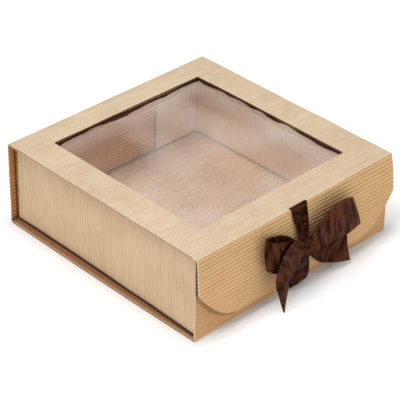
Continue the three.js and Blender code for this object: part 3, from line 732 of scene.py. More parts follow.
class GIFTBOX_OT_front_wall(Operator):
    """Make the front wall behind the flap"""

    bl_idname = "giftbox.front_wall"
    bl_label = "Front wall"

    def execute(self, context):
        card = settings()[0]
        low, _ = seam_heights()
        step = card.broad_pitch / card.samples
        line, normal, run = joined(straight((TRAY_FRONT + card.lean, FRONT_WALL_TOP), (TRAY_FRONT, low), step))
        valley = ribs(run, 0, run[-1], card.broad_pitch, 0, card.fade)
        across = end_columns(0.6, 0.011) * HALF
        # Shade of the flap: beside it, in strips at both ends of what it covers, and beneath its two corners
        strip, drop, soft = 3.4 * MM, 5.2 * MM, 0.8 * MM
        lower_soft, corner_start, corner_reach = 0.6 * MM, 50 * MM, 15 * MM
        height = line[:, 1:]
        covered = smooth((flap_reach(height) - np.abs(across) + soft) / soft) * (height > FLAP_LOW[2])
        beneath = smooth((flap_reach(height + drop) - np.abs(across)) / lower_soft)
        beneath = beneath * (height > FLAP_LOW[2] - drop) * (1 - covered)
        beneath = beneath * smooth((np.abs(across) - corner_start) / corner_reach)
        beside = covered * smooth((np.abs(across) - HALF + strip) / soft)
        # The flap's shade is painted into the front wall's colour as its foot mark
        piece = sheet_piece(
            "front_wall_card", line, normal, run, across, "yz", card.card,
            0.3 * card.broad_depth * valley, 0.5 * card.depth * valley, valley, card.broad_pitch, 23,
            marks={"foot": np.maximum(0.6 * beside, 0.28 * beneath)},
        )
        material = broad_kraft("kraft_front_wall", 0.3, tone="#ebe2de", mouths=0.2, foot_on="outside")
        finish(piece, material, "ribbed_card", "front_wall")
        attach(piece, "tray")
        return {"FINISHED"}


class GIFTBOX_OT_spine(Operator):
    """Make the spine with the back fold of the lid"""

    bl_idname = "giftbox.spine"
    bl_label = "Spine"

    def execute(self, context):
        card = settings()[0]
        low, high = seam_heights()
        fold, back = card.fold, TRAY_BACK
        step = card.broad_pitch / card.samples
        line, normal, run = joined(
            straight((back, low), (back, high), step),
            bend((back - fold, high), fold, 0, math.pi / 2, step / 2),
            straight((back - fold, TOP), (back - fold - lid_strip(card), TOP), card.pitch / card.samples),
        )
        # Broad ribs up to the fold, then the fold and the lid's first two fine ribs
        upright = high - low
        bent = upright + fold * math.pi / 2
        valley = ribs(run, 0, upright - card.seam, card.broad_pitch, card.fade, card.fade)
        lid_valley = lid_ribs(back - fold - line[:, 0], card) * (run >= bent)
        across = end_columns(0.9, 0.006) * HALF
        past_wall = np.abs(across) - wall_place(back) - SPINE_GAP
        foot = np.maximum(line_mark(past_wall, *SPINE_SIDE), line_mark(line[:, 1:], *SPINE_FOOT))
        below_fold = (run < upright)[:, None]
        # Painted shade: the strips outside the side walls are painted browner, and shade lines run along the
        # walls' sides and the foot
        piece = sheet_piece(
            "spine_card", line, normal, run, across, "yz", card.card,
            card.broad_depth * valley + card.depth * lid_valley, 0.9 * card.broad_depth * valley,
            valley + lid_valley, card.broad_pitch, 37,
            marks={
                "pale": on_lid(run - upright, card), "foot": foot * below_fold,
                "bare": smooth(past_wall / BARE_EDGE) * below_fold,
            },
        )
        material = broad_kraft("kraft_spine", 0.7, "#fff4d0", "#f4eee2", bare="#e0d2e0", foot_on="inside")
        finish(piece, material, "ribbed_card", "spine_panel")
        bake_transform(piece)
        return {"FINISHED"}


def on_lid(past_seam, card):
    """0 on the upright side of a fold and 1 on the lid's, changing half-way round the bend."""
    return smooth((past_seam - card.fold * 0.5) / (0.5 * card.fold))[:, None]


def lid_strip(card):
    """Width of the lid's edge that is made with each fold: two whole ribs."""
    return 2 * lid_pitch(card)


def lid_pitch(card):
    """The lid's rib pitch, with a whole number of ribs between its folds."""
    flat = TRAY_BACK - CREASE - card.lean - 2 * card.fold
    return flat / round(flat / card.pitch)


def lid_ribs(place, card):
    """Ribs of the lid at a distance in front of the back fold, faded towards both folds."""
    flat = TRAY_BACK - CREASE - card.lean - 2 * card.fold
    return ribs(place, 0, flat, card.pitch, card.fade, card.fade)


class GIFTBOX_OT_side_walls(Operator):
    """Make the two side walls with their glue tabs"""

    bl_idname = "giftbox.side_walls"
    bl_label = "Side walls"

    def execute(self, context):
        card = settings()[0]
        step = card.pitch / card.samples
        thick, corner = 1.4 * MM, 2.9 * MM
        front_x, back_x = HALF - WALL_INSET_FRONT, HALF - WALL_INSET_BACK
        front_y, back_y = float(WALL_LOW[1]), float(WALL_HIGH[1])
        front_tab, rear_tab = 40 * MM, 47 * MM
        foot, rim = 0.02, 0.985
        share = columns(0, foot, rim, 1, spacing=0.08)
        # Each foot sinks a little into the ply's ribs, and each top drops a little towards the front
        sink, drop, level_end = 0.3 * MM, 0.8 * MM, 30 * MM
        low, high = float(WALL_LOW[2]) - sink, float(WALL_HIGH[2])
        # A profile in X and Y, carried up: tab, corner, wall, corner and tab. The wall is straight from front
        # to back, less 4 * bow * s * (1 - s)
        s = np.linspace(0, 1, round((back_y - front_y - 2 * corner) / step) + 1)
        wall_x = front_x + (back_x - front_x) * s - 4 * WALL_BOW * s * (1 - s)
        wall_y = front_y + corner + (back_y - front_y - 2 * corner) * s
        line, normal, run = joined(
            straight((front_x - front_tab, front_y), (front_x - corner, front_y), step),
            bend((front_x - corner, front_y + corner), corner, -math.pi / 2, 0, step),
            drawn(np.stack([wall_x, wall_y], axis=1)),
            bend((back_x - corner, back_y - corner), corner, 0, math.pi / 2, step),
            straight((back_x - corner, back_y), (back_x - rear_tab, back_y), step),
        )
        turn = corner * math.pi / 2
        start = front_tab - corner + turn
        end = run[-1] - (rear_tab - corner) - turn
        valley = ribs(run, start, end, card.pitch, card.fade, card.fade)
        valley += ribs(run, 0, front_tab - corner, card.pitch, 0, card.fade)
        valley += ribs(run, run[-1] - (rear_tab - corner), run[-1], card.pitch, card.fade, 0)
        forward = smooth((back_y - level_end - line[:, 1]) / (back_y - front_y))
        up = low + (high - drop * forward[:, None] - low) * share
        on_tab = 1 - smooth((run - (front_tab - corner)) / turn)
        lift = -card.lean * on_tab[:, None] * share
        # Painted shade lines up the rear corner and the rear tab's end, and along the top rim and the foot
        corner_mid = run[-1] - (rear_tab - corner) - turn / 2
        upright = np.maximum(line_mark(run - run[-1], *TAB_END), line_mark(run - corner_mid, *REAR_CORNER))
        level = np.maximum(0.75 * smooth((share - rim) / (1 - rim)), 0.6 * smooth((foot - share) / foot))
        marks = {"foot": np.maximum(upright[:, None], level)}
        for name, side, seed in (("right", 1, 41), ("left", -1, 43)):
            mirror = np.array([side, 1])
            piece = sheet_piece(
                f"{name}_wall_card", line * mirror, normal * mirror, run, up, "xy", thick,
                card.depth * valley, 0.8 * card.depth * valley, valley, card.pitch, seed,
                lift=lift, marks=marks,
            )
            # Painted light: the walls are painted paler, and their inner faces paler than their outer faces
            material = fine_kraft(f"kraft_{name}_wall", 2, lit=True, inside="#ffffff", outside="#e3ddcf")
            finish(piece, material, "ribbed_card", f"{name}_side_wall")
            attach(piece, "tray")
        return {"FINISHED"}


class GIFTBOX_OT_lid(Operator):
    """Make the lid's panel round its window"""

    bl_idname = "giftbox.lid"
    bl_label = "Lid"

    def execute(self, context):
        card, window = settings()[:2]
        strip = lid_strip(card)
        back, front = TRAY_BACK - card.fold - strip, CREASE + card.lean + card.fold + strip
        line, normal, run = joined(straight((back, TOP), (front, TOP), card.pitch / card.samples))
        half = HALF - window.side
        across = columns(-HALF, -half, half, HALF)
        middle_x = (across[1:] + across[:-1]) / 2
        middle_y = (line[1:, 0] + line[:-1, 0]) / 2
        beside = np.abs(middle_x)[None, :] > half
        beyond = (middle_y < CREASE + window.front) | (middle_y > TRAY_BACK - window.back)
        valley = lid_ribs(TRAY_BACK - card.fold - line[:, 0], card)
        # The cut edges round the window get painted deep shade
        piece = sheet_piece(
            "lid_card", line, normal, run, across, "yz", card.card,
            card.depth * valley, 0.6 * card.depth * valley, valley, lid_pitch(card), 53,
            keep=beside | beyond[:, None], deep=(front + SHADE_INSET, back - SHADE_INSET),
        )
        finish(piece, fine_kraft("kraft_lid"), "ribbed_card", "lid_panel")
        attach(piece, "lid")
        return {"FINISHED"}


# The flap's lower edge stands off the front wall, and its middle bulges. Its right end stands off more, from a
# place across it and over a reach, by one amount near its middle and one towards its lower edge.
FLAP_LIFT, FLAP_BELLY = 2.4 * MM, 0.5 * MM
TWIST_START, TWIST_REACH, TWIST_MIDDLE, TWIST_LOW = 10 * MM, 90 * MM, 8.8 * MM, 0.8 * MM
RIB_START, NOTCH = 0.2 * MM, 1.2 * MM
SLIT_ROOM, SLIT_PLACE, SLIT_HALF = 0.8 * MM, 0.4 * MM, 0.6 * MM


def flap_stand_off(height, card):
    """How far the flap's face stands before the crease at a height: lift * s + 4 * belly * s * (1 - s)."""
    top = TOP - card.fold
    share = (top - height) / (top - float(FLAP_LOW[2]))
    return (FLAP_LIFT + card.lean) * share + 4 * FLAP_BELLY * share * (1 - share)


def flap_reach(height):
    """Half the flap's width at a height: full above its corners, and their long flat curves below.

    Each corner is the curve (1-t)^2 * a + 2t(1-t) * b + t^2 * c, whose height is corner * t^2.
    """
    corner_width, corner_height, bend_share = 38 * MM, 29 * MM, 0.52
    half = float(FLAP_HIGH[0])
    t = np.sqrt(np.clip((height - float(FLAP_LOW[2])) / corner_height, 0, 1))
    inner, knee = half - corner_width, half - corner_width * bend_share
    return (1 - t) ** 2 * inner + 2 * t * (1 - t) * knee + t**2 * half


class GIFTBOX_OT_flap(Operator):
    """Make the flap with the front fold of the lid and the ribbon's slit"""

    bl_idname = "giftbox.flap"
    bl_label = "Flap"

    def execute(self, context):
        card = settings()[0]
        fold, front = card.fold, CREASE + card.lean
        strip = lid_strip(card)
        high = TOP - fold
        step = card.broad_pitch / card.samples
        heights = np.linspace(high, float(FLAP_LOW[2]), round((high - float(FLAP_LOW[2])) / step) + 1)
        hanging = np.stack([front - flap_stand_off(heights, card), heights], axis=1)
        line, normal, run = joined(
            straight((front + fold + strip, TOP), (front + fold, TOP), card.pitch / card.samples),
            bend((front + fold, high), fold, math.pi / 2, math.pi, step / 2),
            drawn(hanging),
        )
        bent = strip + fold * math.pi / 2
        on_flap = run > bent
        valley = ribs(run, strip + RIB_START, run[-1], card.broad_pitch, card.fade, 0)
        lid_valley = lid_ribs(TRAY_BACK - fold - line[:, 0], card) * (run < strip)
        notch = smooth((run - bent) / NOTCH)
        reach = np.where(on_flap, HALF + (flap_reach(line[:, 1]) - HALF) * notch, HALF)
        slit_low, slit_high = (float(corner[0]) for corner in box("ribbon_inner_end"))
        slit_low, slit_high = slit_low - SLIT_ROOM, slit_high + SLIT_ROOM
        share = columns(-1, slit_low / HALF, slit_high / HALF, 1, spacing=0.035)
        across = share * reach[:, None]
        down = np.clip((high - line[:, 1:]) / (high - float(FLAP_LOW[2])), 0, 1)
        twist = smooth((across - TWIST_START) / TWIST_REACH) * (TWIST_MIDDLE * (1 - down) + TWIST_LOW) * down
        middle = (share[1:] + share[:-1]) / 2 * HALF
        middle_run = (run[1:] + run[:-1]) / 2
        in_slit = (middle > slit_low) & (middle < slit_high)
        in_slit = in_slit & (np.abs(middle_run - strip - SLIT_PLACE) < SLIT_HALF)[:, None]
        piece = sheet_piece(
            "flap_card", line, normal, run, across, "yz", card.card,
            card.broad_depth * valley + card.depth * lid_valley, 0.4 * card.depth * valley,
            valley + lid_valley, card.broad_pitch, 59, keep=~in_slit, lift=twist,
            marks={"pale": on_lid(bent - run, card)},
        )
        material = broad_kraft("kraft_flap", inside="#fff4e6", mouths=0.25, pale_inside=True)
        finish(piece, material, "ribbed_card", "front_flap")
        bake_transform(piece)
        return {"FINISHED"}


# The film's grid, how far past its tape it hangs free and its puckers end, and the lengths of its waves
FILM_COLUMNS, FILM_ROWS = 141, 145
FILM_FREE, PUCKER_REACH = 6 * MM, 45 * MM
BROAD_WAVE, PUCKER_WAVE = 85 * MM, 42 * MM


class GIFTBOX_OT_window(Operator):
    """Make the wavy film under the window and finish the tape that holds it"""

    bl_idname = "giftbox.window"
    bl_label = "Window film"

    def execute(self, context):
        window = settings()[1]
        low, high = FILM_LOW, FILM_HIGH
        x = np.linspace(low[0], high[0], FILM_COLUMNS)
        y = np.linspace(low[1], high[1], FILM_ROWS)
        gx, gy = np.meshgrid(x, y, indexing="ij")
        edge = np.minimum.reduce([gx - low[0], high[0] - gx, gy - low[1], high[1] - gy])
        # The film hangs by sag + ripple * (0.5 * broad waves + 0.4 * puckers near the tape), where it is free
        free = smooth((edge - window.held) / FILM_FREE)
        inner = smooth((edge - window.held) / PUCKER_REACH)
        broad = ripples(gx, gy, BROAD_WAVE, 7)
        puckers = ripples(gx, gy, PUCKER_WAVE, 9) * (1 - inner)
        drop = free * (window.sag + window.ripple * (0.5 * broad + 0.4 * puckers))
        top = np.stack([gx, gy, high[2] - np.maximum(drop, 0)], axis=-1)
        bottom = top - np.array([0, 0, window.film])
        points, faces, row, col = slab(top, bottom)[:4]
        uv = np.stack([row / len(x), col / len(y)], axis=1)
        film = new_piece("clear_film", points, faces, uv=uv)
        material = film_material(TRAY_BACK - window.back, HALF - window.side)
        finish(film, material, "clear_film", "window_film")
        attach(film, "lid")
        tape = tape_material()
        tapes = [f"window_tape_{side}" for side in ("front", "back", "left", "right")]
        for name in (*tapes, "ribbon_inner_patch", "ribbon_lower_patch"):
            finish(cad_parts[name], tape, "tape")
        return {"FINISHED"}


# Ribbon


RIBBON_COLUMNS, HEM_SHARE = 26, 0.035
CRUMPLE, CRUMPLE_SHARE = 0.25 * MM, 0.7
RIBBON_GAP = 0.35 * MM
LOOP_FOLDS, LOOP_GATHER = 2.5, 0.9 * MM
TAIL_FOLDS, TAIL_GATHER = 2.0, 0.8 * MM


def surface_normal(surface):
    """Unit normal of a grid of points: the cross product of its two differences."""
    normal = np.cross(np.gradient(surface, axis=0), np.gradient(surface, axis=1))
    return normal / np.maximum(np.linalg.norm(normal, axis=2, keepdims=True), 1e-12)


def ribbon_piece(name, edge_a, edge_b, folds, gather, belly, seed, rows, held="folded", painted_shade=0.0):
    """A ribbon between two edge lines, gathered into folds where it is narrow.

    place = a + (b - a) * v + normal * (belly * 4v(1-v) + gather(u) * sin(2 pi * folds * v)), with its
    thickness to both sides of that surface. gather and belly are one number per row.
    """
    bow = settings()[2]
    a, b = smooth_line(edge_a, rows), smooth_line(edge_b, rows)
    v = np.linspace(0, 1, RIBBON_COLUMNS)
    u = np.linspace(0, 1, rows)
    flat_surface = a[:, None] + (b - a)[:, None] * v[None, :, None]
    gather, belly = np.broadcast_to(gather, rows), np.broadcast_to(belly, rows)
    draw = np.random.RandomState(seed).uniform(0, 2 * math.pi)
    height = belly[:, None] * 4 * v * (1 - v)
    height = height + gather[:, None] * np.sin(2 * math.pi * folds * v + draw) * np.sin(math.pi * v) ** 0.5
    height = height + CRUMPLE * ripples(u[:, None], v[None, :], CRUMPLE_SHARE, seed + 1)
    surface = flat_surface + surface_normal(flat_surface) * height[..., None]
    normal = surface_normal(surface)
    hem = 1 + 0.5 * np.exp(-(np.minimum(v, 1 - v) / HEM_SHARE) ** 2)
    half = (bow.thickness / 2 * hem)[None, :, None]
    points, faces, row, col = slab(surface + normal * half, surface - normal * half)[:4]
    middle = surface[:, RIBBON_COLUMNS // 2]
    run = np.concatenate([[0], np.cumsum(np.linalg.norm(np.diff(middle, axis=0), axis=1))])
    threads = np.stack([run[row] / MM, v[col] * bow.width / MM, np.full(len(row), painted_shade)], axis=1)
    uv = np.stack([run[row] / run[-1], v[col]], axis=1)
    piece = new_piece(name, points, faces, {"threads": threads}, uv=uv)
    return piece


def bow_points(*shares):
    """Places given as shares of the bow's span from the knot's centre."""
    return KNOT + np.array(shares) * settings()[2].span


def edge_lines(line, left, right):
    """The two edges of a ribbon along a line in Y and Z, at places in X given in millimetres."""
    return [[(x * MM, y, z) for x, (y, z) in zip(side, line)] for side in (left, right)]


def near_ends(rows, reach, both=True):
    """1 at the ends that the knot holds, falling to 0 over a share of the length."""
    u = np.linspace(0, 1, rows)
    near = np.exp(-((u / reach) ** 2))
    return near + np.exp(-(((1 - u) / reach) ** 2)) if both else near


class GIFTBOX_OT_strands(Operator):
    """Make the strand from the slit to the knot and the one round the flap's lower edge"""

    bl_idname = "giftbox.strands"
    bl_label = "Ribbon strands"

    def execute(self, context):
        card, _, bow, _, _ = settings()
        fold, front, high = card.fold, CREASE + card.lean, TOP - card.fold
        rest = bow.thickness / 2 + RIBBON_GAP
        slit_y = front + fold - 0.4 * MM
        under = TOP - card.card - bow.thickness / 2 - 0.05 * MM
        drape = fold + rest
        angle = np.linspace(0.63 * math.pi, math.pi, 5)
        over = np.stack([front + fold + drape * np.cos(angle), high + drape * np.sin(angle)], axis=1)
        strand = [
            (slit_y + 10 * MM, under), (slit_y + 2 * MM, under), (slit_y + 0.5 * MM, under + 0.25 * MM),
            (slit_y + 0.05 * MM, TOP - 0.7 * MM), *over,
            (front - flap_stand_off(62 * MM, card) - rest - 0.5 * MM, 62 * MM),
            (front - flap_stand_off(53 * MM, card) - rest - 1.6 * MM, 53 * MM),
            (KNOT[1] + 2.2 * MM, KNOT[2] + 6 * MM),
            (KNOT[1] + 1.0 * MM, KNOT[2] + 1 * MM),
        ]
        count = len(strand) - 4
        edges = edge_lines(
            strand, [-9.4] * count + [-8.3, -5.8, -4.2, -3.4], [6.4] * count + [6.8, 6.6, 4.8, 3.6]
        )
        rows = 150
        gather = 0.9 * MM * smooth((np.linspace(0, 1, rows) - 0.55) / 0.4)
        # This strand is painted darker, as shade, by its last number
        piece = ribbon_piece("ribbon_upper_strand", *edges, 2.5, gather, 0.0, 5, rows, held="hung", painted_shade=0.3)
        finish(piece, bpy.data.materials["woven_satin"], "satin_ribbon", "ribbon_inner_end", "ribbon_upper")
        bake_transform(piece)
        low = float(FLAP_LOW[2])
        face = front - flap_stand_off(low, card)
        hem = [
            (KNOT[1] + 1.0 * MM, KNOT[2] - 4 * MM), (KNOT[1] + 1.8 * MM, KNOT[2] - 9 * MM),
            (face - 1.8 * MM, KNOT[2] - 15 * MM), (face - 1.5 * MM, low + 6 * MM),
            (face - 1.2 * MM, low - 0.5 * MM), (face - 0.6 * MM, low - 5 * MM),
            (face + 0.4 * MM, low - 8 * MM), (face + 1.6 * MM, low - 6.5 * MM),
            (face + card.card + 0.5 * MM, low - 1 * MM),
            (front - flap_stand_off(20 * MM, card) + card.card + rest, 20 * MM),
            (front - flap_stand_off(30 * MM, card) + card.card + rest, 30 * MM),
        ]
        edges = edge_lines(
            hem,
            [-3.4, -4.5, -7.0, -8.5, -8.8, -8.6, -8.4, -8.6, -9.0, -9.2, -9.2],
            [3.6, 4.6, 7.0, 8.2, 8.4, 8.2, 8.0, 8.0, 7.6, 7.6, 7.6],
        )
        gather = 0.8 * MM * (1 - smooth(np.linspace(0, 1, rows) / 0.35))
        # This strand is painted darker, as shade, by its last number
        piece = ribbon_piece(
            "ribbon_lower_strand", *edges, 2.5, gather, 0.4 * MM, 15, rows, held="hung", painted_shade=0.25
        )
        finish(piece, bpy.data.materials["woven_satin"], "satin_ribbon", "ribbon_lower")
        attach(piece, "flap")
        return {"FINISHED"}


LEFT_LOOP_UPPER_SHARES = (
    (-0.030, 0.022, 0.020), (-0.175, 0.032, 0.146), (-0.293, 0.032, 0.197), (-0.373, 0.024, 0.221),
    (-0.419, 0.005, 0.233), (-0.418, -0.016, 0.229), (-0.342, -0.028, 0.192), (-0.238, -0.026, 0.151),
    (-0.140, -0.018, 0.115), (-0.030, -0.010, 0.022),
)
LEFT_LOOP_LOWER_SHARES = (
    (-0.030, 0.022, -0.050), (-0.157, 0.032, -0.103), (-0.275, 0.032, -0.070), (-0.356, 0.024, -0.041),
    (-0.403, 0.005, -0.022), (-0.406, -0.016, -0.024), (-0.323, -0.028, -0.076), (-0.219, -0.026, -0.097),
    (-0.127, -0.018, -0.061), (-0.030, -0.010, -0.052),
)
RIGHT_LOOP_UPPER_SHARES = (
    (0.030, 0.022, 0.030), (0.142, 0.016, 0.066), (0.286, 0.018, 0.144), (0.422, 0.014, 0.175),
    (0.479, 0.006, 0.182), (0.464, -0.010, 0.204), (0.355, -0.028, 0.242), (0.211, -0.036, 0.235),
    (0.056, -0.024, 0.123), (0.030, -0.010, 0.032),
)
RIGHT_LOOP_LOWER_SHARES = (
    (0.030, 0.022, -0.050), (0.157, 0.016, -0.100), (0.309, 0.018, -0.087), (0.465, 0.014, -0.091),
    (0.568, 0.006, -0.087), (0.576, -0.010, -0.078), (0.428, -0.028, -0.083), (0.261, -0.036, -0.065),
    (0.112, -0.024, -0.091), (0.030, -0.010, -0.052),
)
LEFT_TAIL_UPPER_SHARES = (
    (-0.020, -0.034, 0.022), (-0.151, -0.046, 0.134), (-0.212, -0.050, 0.127), (-0.264, -0.054, 0.099),
    (-0.310, -0.058, 0.050), (-0.351, -0.064, -0.023), (-0.378, -0.072, -0.108), (-0.348, -0.082, -0.234),
    (-0.299, -0.091, -0.387),
)
LEFT_TAIL_LOWER_SHARES = (
    (-0.020, -0.034, -0.050), (-0.085, -0.042, -0.039), (-0.113, -0.046, -0.065), (-0.150, -0.050, -0.106),
    (-0.189, -0.056, -0.157), (-0.225, -0.064, -0.214), (-0.249, -0.072, -0.259), (-0.275, -0.083, -0.320),
    (-0.294, -0.092, -0.389),
)
RIGHT_TAIL_UPPER_SHARES = (
    (0.030, 0.012, -0.020), (0.199, 0.018, -0.128), (0.326, 0.022, -0.141), (0.415, 0.020, -0.135),
    (0.471, 0.016, -0.138),
)
RIGHT_TAIL_LOWER_SHARES = (
    (0.030, 0.006, -0.085), (0.167, 0.008, -0.229), (0.270, 0.000, -0.285), (0.370, -0.010, -0.323),
    (0.488, -0.020, -0.356),
)


class GIFTBOX_OT_bow(Operator):
    """Make the bow's loops, tails and knot"""

    bl_idname = "giftbox.bow"
    bl_label = "Bow"

    def execute(self, context):
        satin = bpy.data.materials["woven_satin"]
        rows = 130
        # The last number of each loop and tail is its painted shade: above 0 painted darker, below 0 lighter
        # as light
        loops = (
            ("bow_left_loop", LEFT_LOOP_UPPER_SHARES, LEFT_LOOP_LOWER_SHARES, -0.7 * MM, 61, 0.0),
            ("bow_right_loop", RIGHT_LOOP_UPPER_SHARES, RIGHT_LOOP_LOWER_SHARES, 0.7 * MM, 67, -0.25),
        )
        for node, upper, lower, belly, seed, painted_shade in loops:
            gather = LOOP_GATHER * near_ends(rows, 0.13)
            belly = belly * (1 - near_ends(rows, 0.2))
            edges = bow_points(*upper), bow_points(*lower)
            piece = ribbon_piece(node + "_ribbon", *edges, LOOP_FOLDS, gather, belly, seed, rows, painted_shade=painted_shade)
            finish(piece, satin, "satin_ribbon", node)
            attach(piece, "flap")
        tails = (
            ("bow_left_tail", LEFT_TAIL_UPPER_SHARES, LEFT_TAIL_LOWER_SHARES, 0.9 * MM, 71, 0.05),
            ("bow_right_tail", RIGHT_TAIL_UPPER_SHARES, RIGHT_TAIL_LOWER_SHARES, 0.6 * MM, 73, 0.2),
        )
        for node, upper, lower, belly, seed, painted_shade in tails:
            gather = TAIL_GATHER * near_ends(rows, 0.16, both=False)
            edges = bow_points(*upper), bow_points(*lower)
            piece = ribbon_piece(
                node + "_ribbon", *edges, TAIL_FOLDS, gather, belly, seed, rows, held="hung", painted_shade=painted_shade
            )
            finish(piece, satin, "satin_ribbon", node)
            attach(piece, "flap")
        piece = knot_piece()
        finish(piece, satin, "satin_ribbon", "bow_knot")
        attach(piece, "flap")
        return {"FINISHED"}


# The knot's band in shares of the knot's box, its shift from the box's middle, and its inside's share
KNOT_BAND_SHARES, KNOT_SHIFT, KNOT_INSIDE_SHARE = (0.74, 1.0, 1.14), np.array([0.8, 0, -2.4]) * MM, 0.55


def knot_piece():
    """The knot's band: rings round the X axis whose radius has a ridge for each fold of the ribbon.

    radius = (1 - 0.3 s^4) * (1 + 0.09 * cos(2 pi * 2.5 s + wobble)), and the band's ends turn in to a small
    opening round the strands.
    """
    around = np.linspace(0, 2 * math.pi, 49)[:-1]
    s = np.linspace(-1, 1, 37)
    size = (KNOT_HIGH - KNOT_LOW) / 2 * KNOT_BAND_SHARES
    centre = KNOT + KNOT_SHIFT
    angle, share = np.meshgrid(around, s)
    wobble = 0.7 * np.sin(angle + 0.6) + 0.4 * np.sin(2 * angle)
    radius = (1 - 0.3 * share**4) * (1 + 0.09 * np.cos(2 * math.pi * 2.5 * share + wobble))
    band = np.stack(
        [
            centre[0] + size[0] * share * (1 + 0.08 * np.cos(angle)),
            centre[1] + size[1] * radius * np.cos(angle),
            centre[2] + size[2] * radius * np.sin(angle),
        ],
        axis=-1,
    )
    inside = band.copy()
    inside[..., 1:] = centre[1:] + (band[..., 1:] - centre[1:]) * KNOT_INSIDE_SHARE
    tube = np.concatenate([band, inside[::-1]])
    rows, cols = tube.shape[:2]
    index = np.arange(rows * cols).reshape(rows, cols)
    after, beside = np.roll(index, -1, axis=0), np.roll(index, -1, axis=1)
    faces = np.stack([index, after, np.roll(after, -1, axis=1), beside], axis=-1).reshape(-1, 4)
    grid_row, grid_col = np.divmod(np.arange(rows * cols), cols)
    along = np.abs(around[grid_col]) * size[2]
    threads = np.stack([along / MM, grid_row * 0.5, 0.0 * along], axis=1)
    uv = np.stack([grid_col / cols, grid_row / rows], axis=1)
    return new_piece("bow_knot_band", tube.reshape(-1, 3), faces, {"threads": threads}, uv=uv, sharp=70)


# Stage

FLOOR_HALF, FLOOR_DROP = 4.0, 0.1 * MM
WHITE_REACH, WHITE_ADDED = 20 * MM, 0.24
KEY_PLACE, KEY_SIZE = (-0.55, -0.10, 1.30), 0.55


class GIFTBOX_OT_stage(Operator):
    """Make the white floor, the surrounding light, the softbox and the camera"""

    bl_idname = "giftbox.stage"
    bl_label = "Stage"

    def execute(self, context):
        stage = settings()[4]
        add_floor()
        add_world(stage.ambient)
        add_softbox("key_light", KEY_PLACE, KEY_SIZE, stage.key)
        add_camera(stage)
        context.scene.view_settings.view_transform = "Standard"
        return {"FINISHED"}


def seen_directly(tree):
    """1 for rays from the camera, from mirrors and through glass, else 0."""
    rays = add(tree, "LightPath").node.outputs
    direct = add(tree, "Math", (rays["Is Camera Ray"], rays["Is Glossy Ray"]), operation="MAXIMUM")
    return add(tree, "Math", (direct, rays["Is Transmission Ray"]), operation="MAXIMUM")


def add_floor():
    """White paper floor, which reads as white where it is lit and keeps the box's soft shadow.

    Its added white, a glow seen directly, grows from nothing at the box's foot to the full amount some way
    out, which paints a darker ring round the foot over the box's real shadow. The distance from the foot is
    sqrt(gap_x^2 + gap_y^2), where each gap is how far a place lies past the box's square.
    """
    corners = [(x * FLOOR_HALF, y * FLOOR_HALF, -FLOOR_DROP) for x, y in ((-1, -1), (1, -1), (1, 1), (-1, 1))]
    mesh = bpy.data.meshes.new("floor")
    mesh.from_pydata(corners, [], [(0, 1, 2, 3)])
    floor = bpy.data.objects.new("floor", mesh)
    bpy.context.scene.collection.objects.link(floor)
    material, tree = blank_material("white_paper_floor")
    parts = add(tree, "SeparateXYZ", (add(tree, "TexCoord", out="Object"),)).node.outputs
    squares = []
    for part in (parts[0], parts[1]):
        gap = add(tree, "Math", (part,), operation="ABSOLUTE")
        gap = add(tree, "Math", (gap, HALF), operation="SUBTRACT")
        gap = add(tree, "Math", (gap, 0.0), operation="MAXIMUM")
        squares.append(add(tree, "Math", (gap, 2.0), operation="POWER"))
    distance = add(tree, "Math", (add(tree, "Math", squares, operation="ADD"),), operation="SQRT")
    levels = (distance, 0.0, WHITE_REACH, 0.0, WHITE_ADDED)
    level = add(tree, "MapRange", levels, interpolation_type="SMOOTHSTEP")
    glow = add(tree, "Math", (seen_directly(tree), level), operation="MULTIPLY")
    paper = add(tree, "BsdfDiffuse", {"Color": hex_colour("#fafcff")})
    white = add(tree, "Emission", {"Color": hex_colour("#ffffff"), "Strength": glow})
    add(tree, "OutputMaterial", (add(tree, "AddShader", (paper, white)),))
    mesh.materials.append(material)


def add_world(strength):
    """White surroundings: full white where they are seen, and softer as light."""
    world = bpy.data.worlds.new("white_surroundings")
    world.use_nodes = True
    tree = world.node_tree
    tree.nodes.clear()
    level = add(tree, "MapRange", (seen_directly(tree), 0.0, 1.0, strength, 1.0))
    light = add(tree, "Background", {"Color": (1, 1, 1, 1), "Strength": level})
    add(tree, "OutputWorld", (light,))
    bpy.context.scene.world = world


def add_softbox(name, place, size, power):
    """A square softbox that faces the box."""
    lamp = bpy.data.lights.new(name, "AREA")
    lamp.shape, lamp.size, lamp.energy = "SQUARE", size, power
    softbox = bpy.data.objects.new(name, lamp)
    back = np.array(place) / np.linalg.norm(place)
    right = np.cross((0, 0, 1), back)
    right /= np.linalg.norm(right)
    turn = np.stack([right, np.cross(back, right), back], axis=1)
    softbox.matrix_world = Matrix.Translation(place) @ Matrix(turn.tolist()).to_4x4()
    bpy.context.scene.collection.objects.link(softbox)


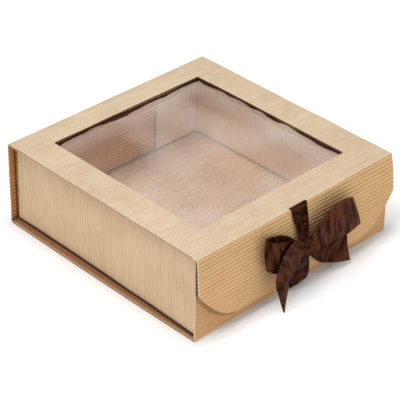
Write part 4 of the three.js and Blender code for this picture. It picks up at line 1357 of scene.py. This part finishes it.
def add_camera(stage):
    """Camera at the photograph's place, turned by its azimuth, elevation and roll."""
    azimuth, elevation, roll = stage.azimuth, stage.elevation, stage.roll
    flat = math.cos(elevation)
    ahead = np.array([math.sin(azimuth) * flat, math.cos(azimuth) * flat, -math.sin(elevation)])
    side = np.cross(ahead, (0, 0, 1))
    side /= np.linalg.norm(side)
    up = np.cross(side, ahead)
    right = math.cos(roll) * side + math.sin(roll) * up
    top = -math.sin(roll) * side + math.cos(roll) * up
    lens = bpy.data.cameras.new("photo_camera")
    lens.lens, lens.sensor_width, lens.sensor_fit = stage.lens, 36.0, "HORIZONTAL"
    lens.clip_start, lens.clip_end = 0.01, 50.0
    camera = bpy.data.objects.new("photo_camera", lens)
    turn = Matrix(np.stack([right, top, -ahead], axis=1).tolist()).to_4x4()
    camera.matrix_world = Matrix.Translation(stage.place) @ turn
    bpy.context.scene.collection.objects.link(camera)
    bpy.context.scene.camera = camera


class GIFTBOX_OT_materials(Operator):
    """Make the satin that all of the ribbon's pieces share"""

    bl_idname = "giftbox.materials"
    bl_label = "Ribbon satin"

    def execute(self, context):
        _, _, bow, colours, _ = settings()
        satin_material(bow.weave, colours.satin, colours.satin_dark)
        return {"FINISHED"}


OPERATORS = (
    GIFTBOX_OT_stage,
    GIFTBOX_OT_materials,
    GIFTBOX_OT_base,
    GIFTBOX_OT_front_wall,
    GIFTBOX_OT_spine,
    GIFTBOX_OT_side_walls,
    GIFTBOX_OT_lid,
    GIFTBOX_OT_flap,
    GIFTBOX_OT_window,
    GIFTBOX_OT_strands,
    GIFTBOX_OT_bow,
)


class GIFTBOX_PT_panel(Panel):
    """Lists the gift box's pieces in the sidebar"""

    bl_idname = "GIFTBOX_PT_panel"
    bl_label = "Gift Box"
    bl_space_type = "VIEW_3D"
    bl_region_type = "UI"
    bl_category = "Gift Box"

    def draw(self, context):
        for operator in OPERATORS:
            self.layout.operator(operator.bl_idname)


GROUPS = {
    "gift_box_card": GiftBoxCard,
    "gift_box_window": GiftBoxWindow,
    "gift_box_bow": GiftBoxBow,
    "gift_box_finish": GiftBoxFinish,
    "gift_box_stage": GiftBoxStage,
}


def register():
    """Registers the settings, the operators and the panel."""
    for name, group in GROUPS.items():
        bpy.utils.register_class(group)
        setattr(bpy.types.Scene, name, PointerProperty(type=group))
    for cls in (*OPERATORS, GIFTBOX_PT_panel):
        bpy.utils.register_class(cls)


def unregister():
    """Takes everything out again, in reverse order."""
    for cls in reversed((*OPERATORS, GIFTBOX_PT_panel)):
        bpy.utils.unregister_class(cls)
    for name, group in reversed(GROUPS.items()):
        delattr(bpy.types.Scene, name)
        bpy.utils.unregister_class(group)


def main():
    """Makes the whole box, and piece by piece."""
    register()
    for operator in OPERATORS:
        group, name = operator.bl_idname.split(".")
        getattr(getattr(bpy.ops, group), name)()
    bpy.context.view_layer.update()


if __name__ == "__main__":
    main()
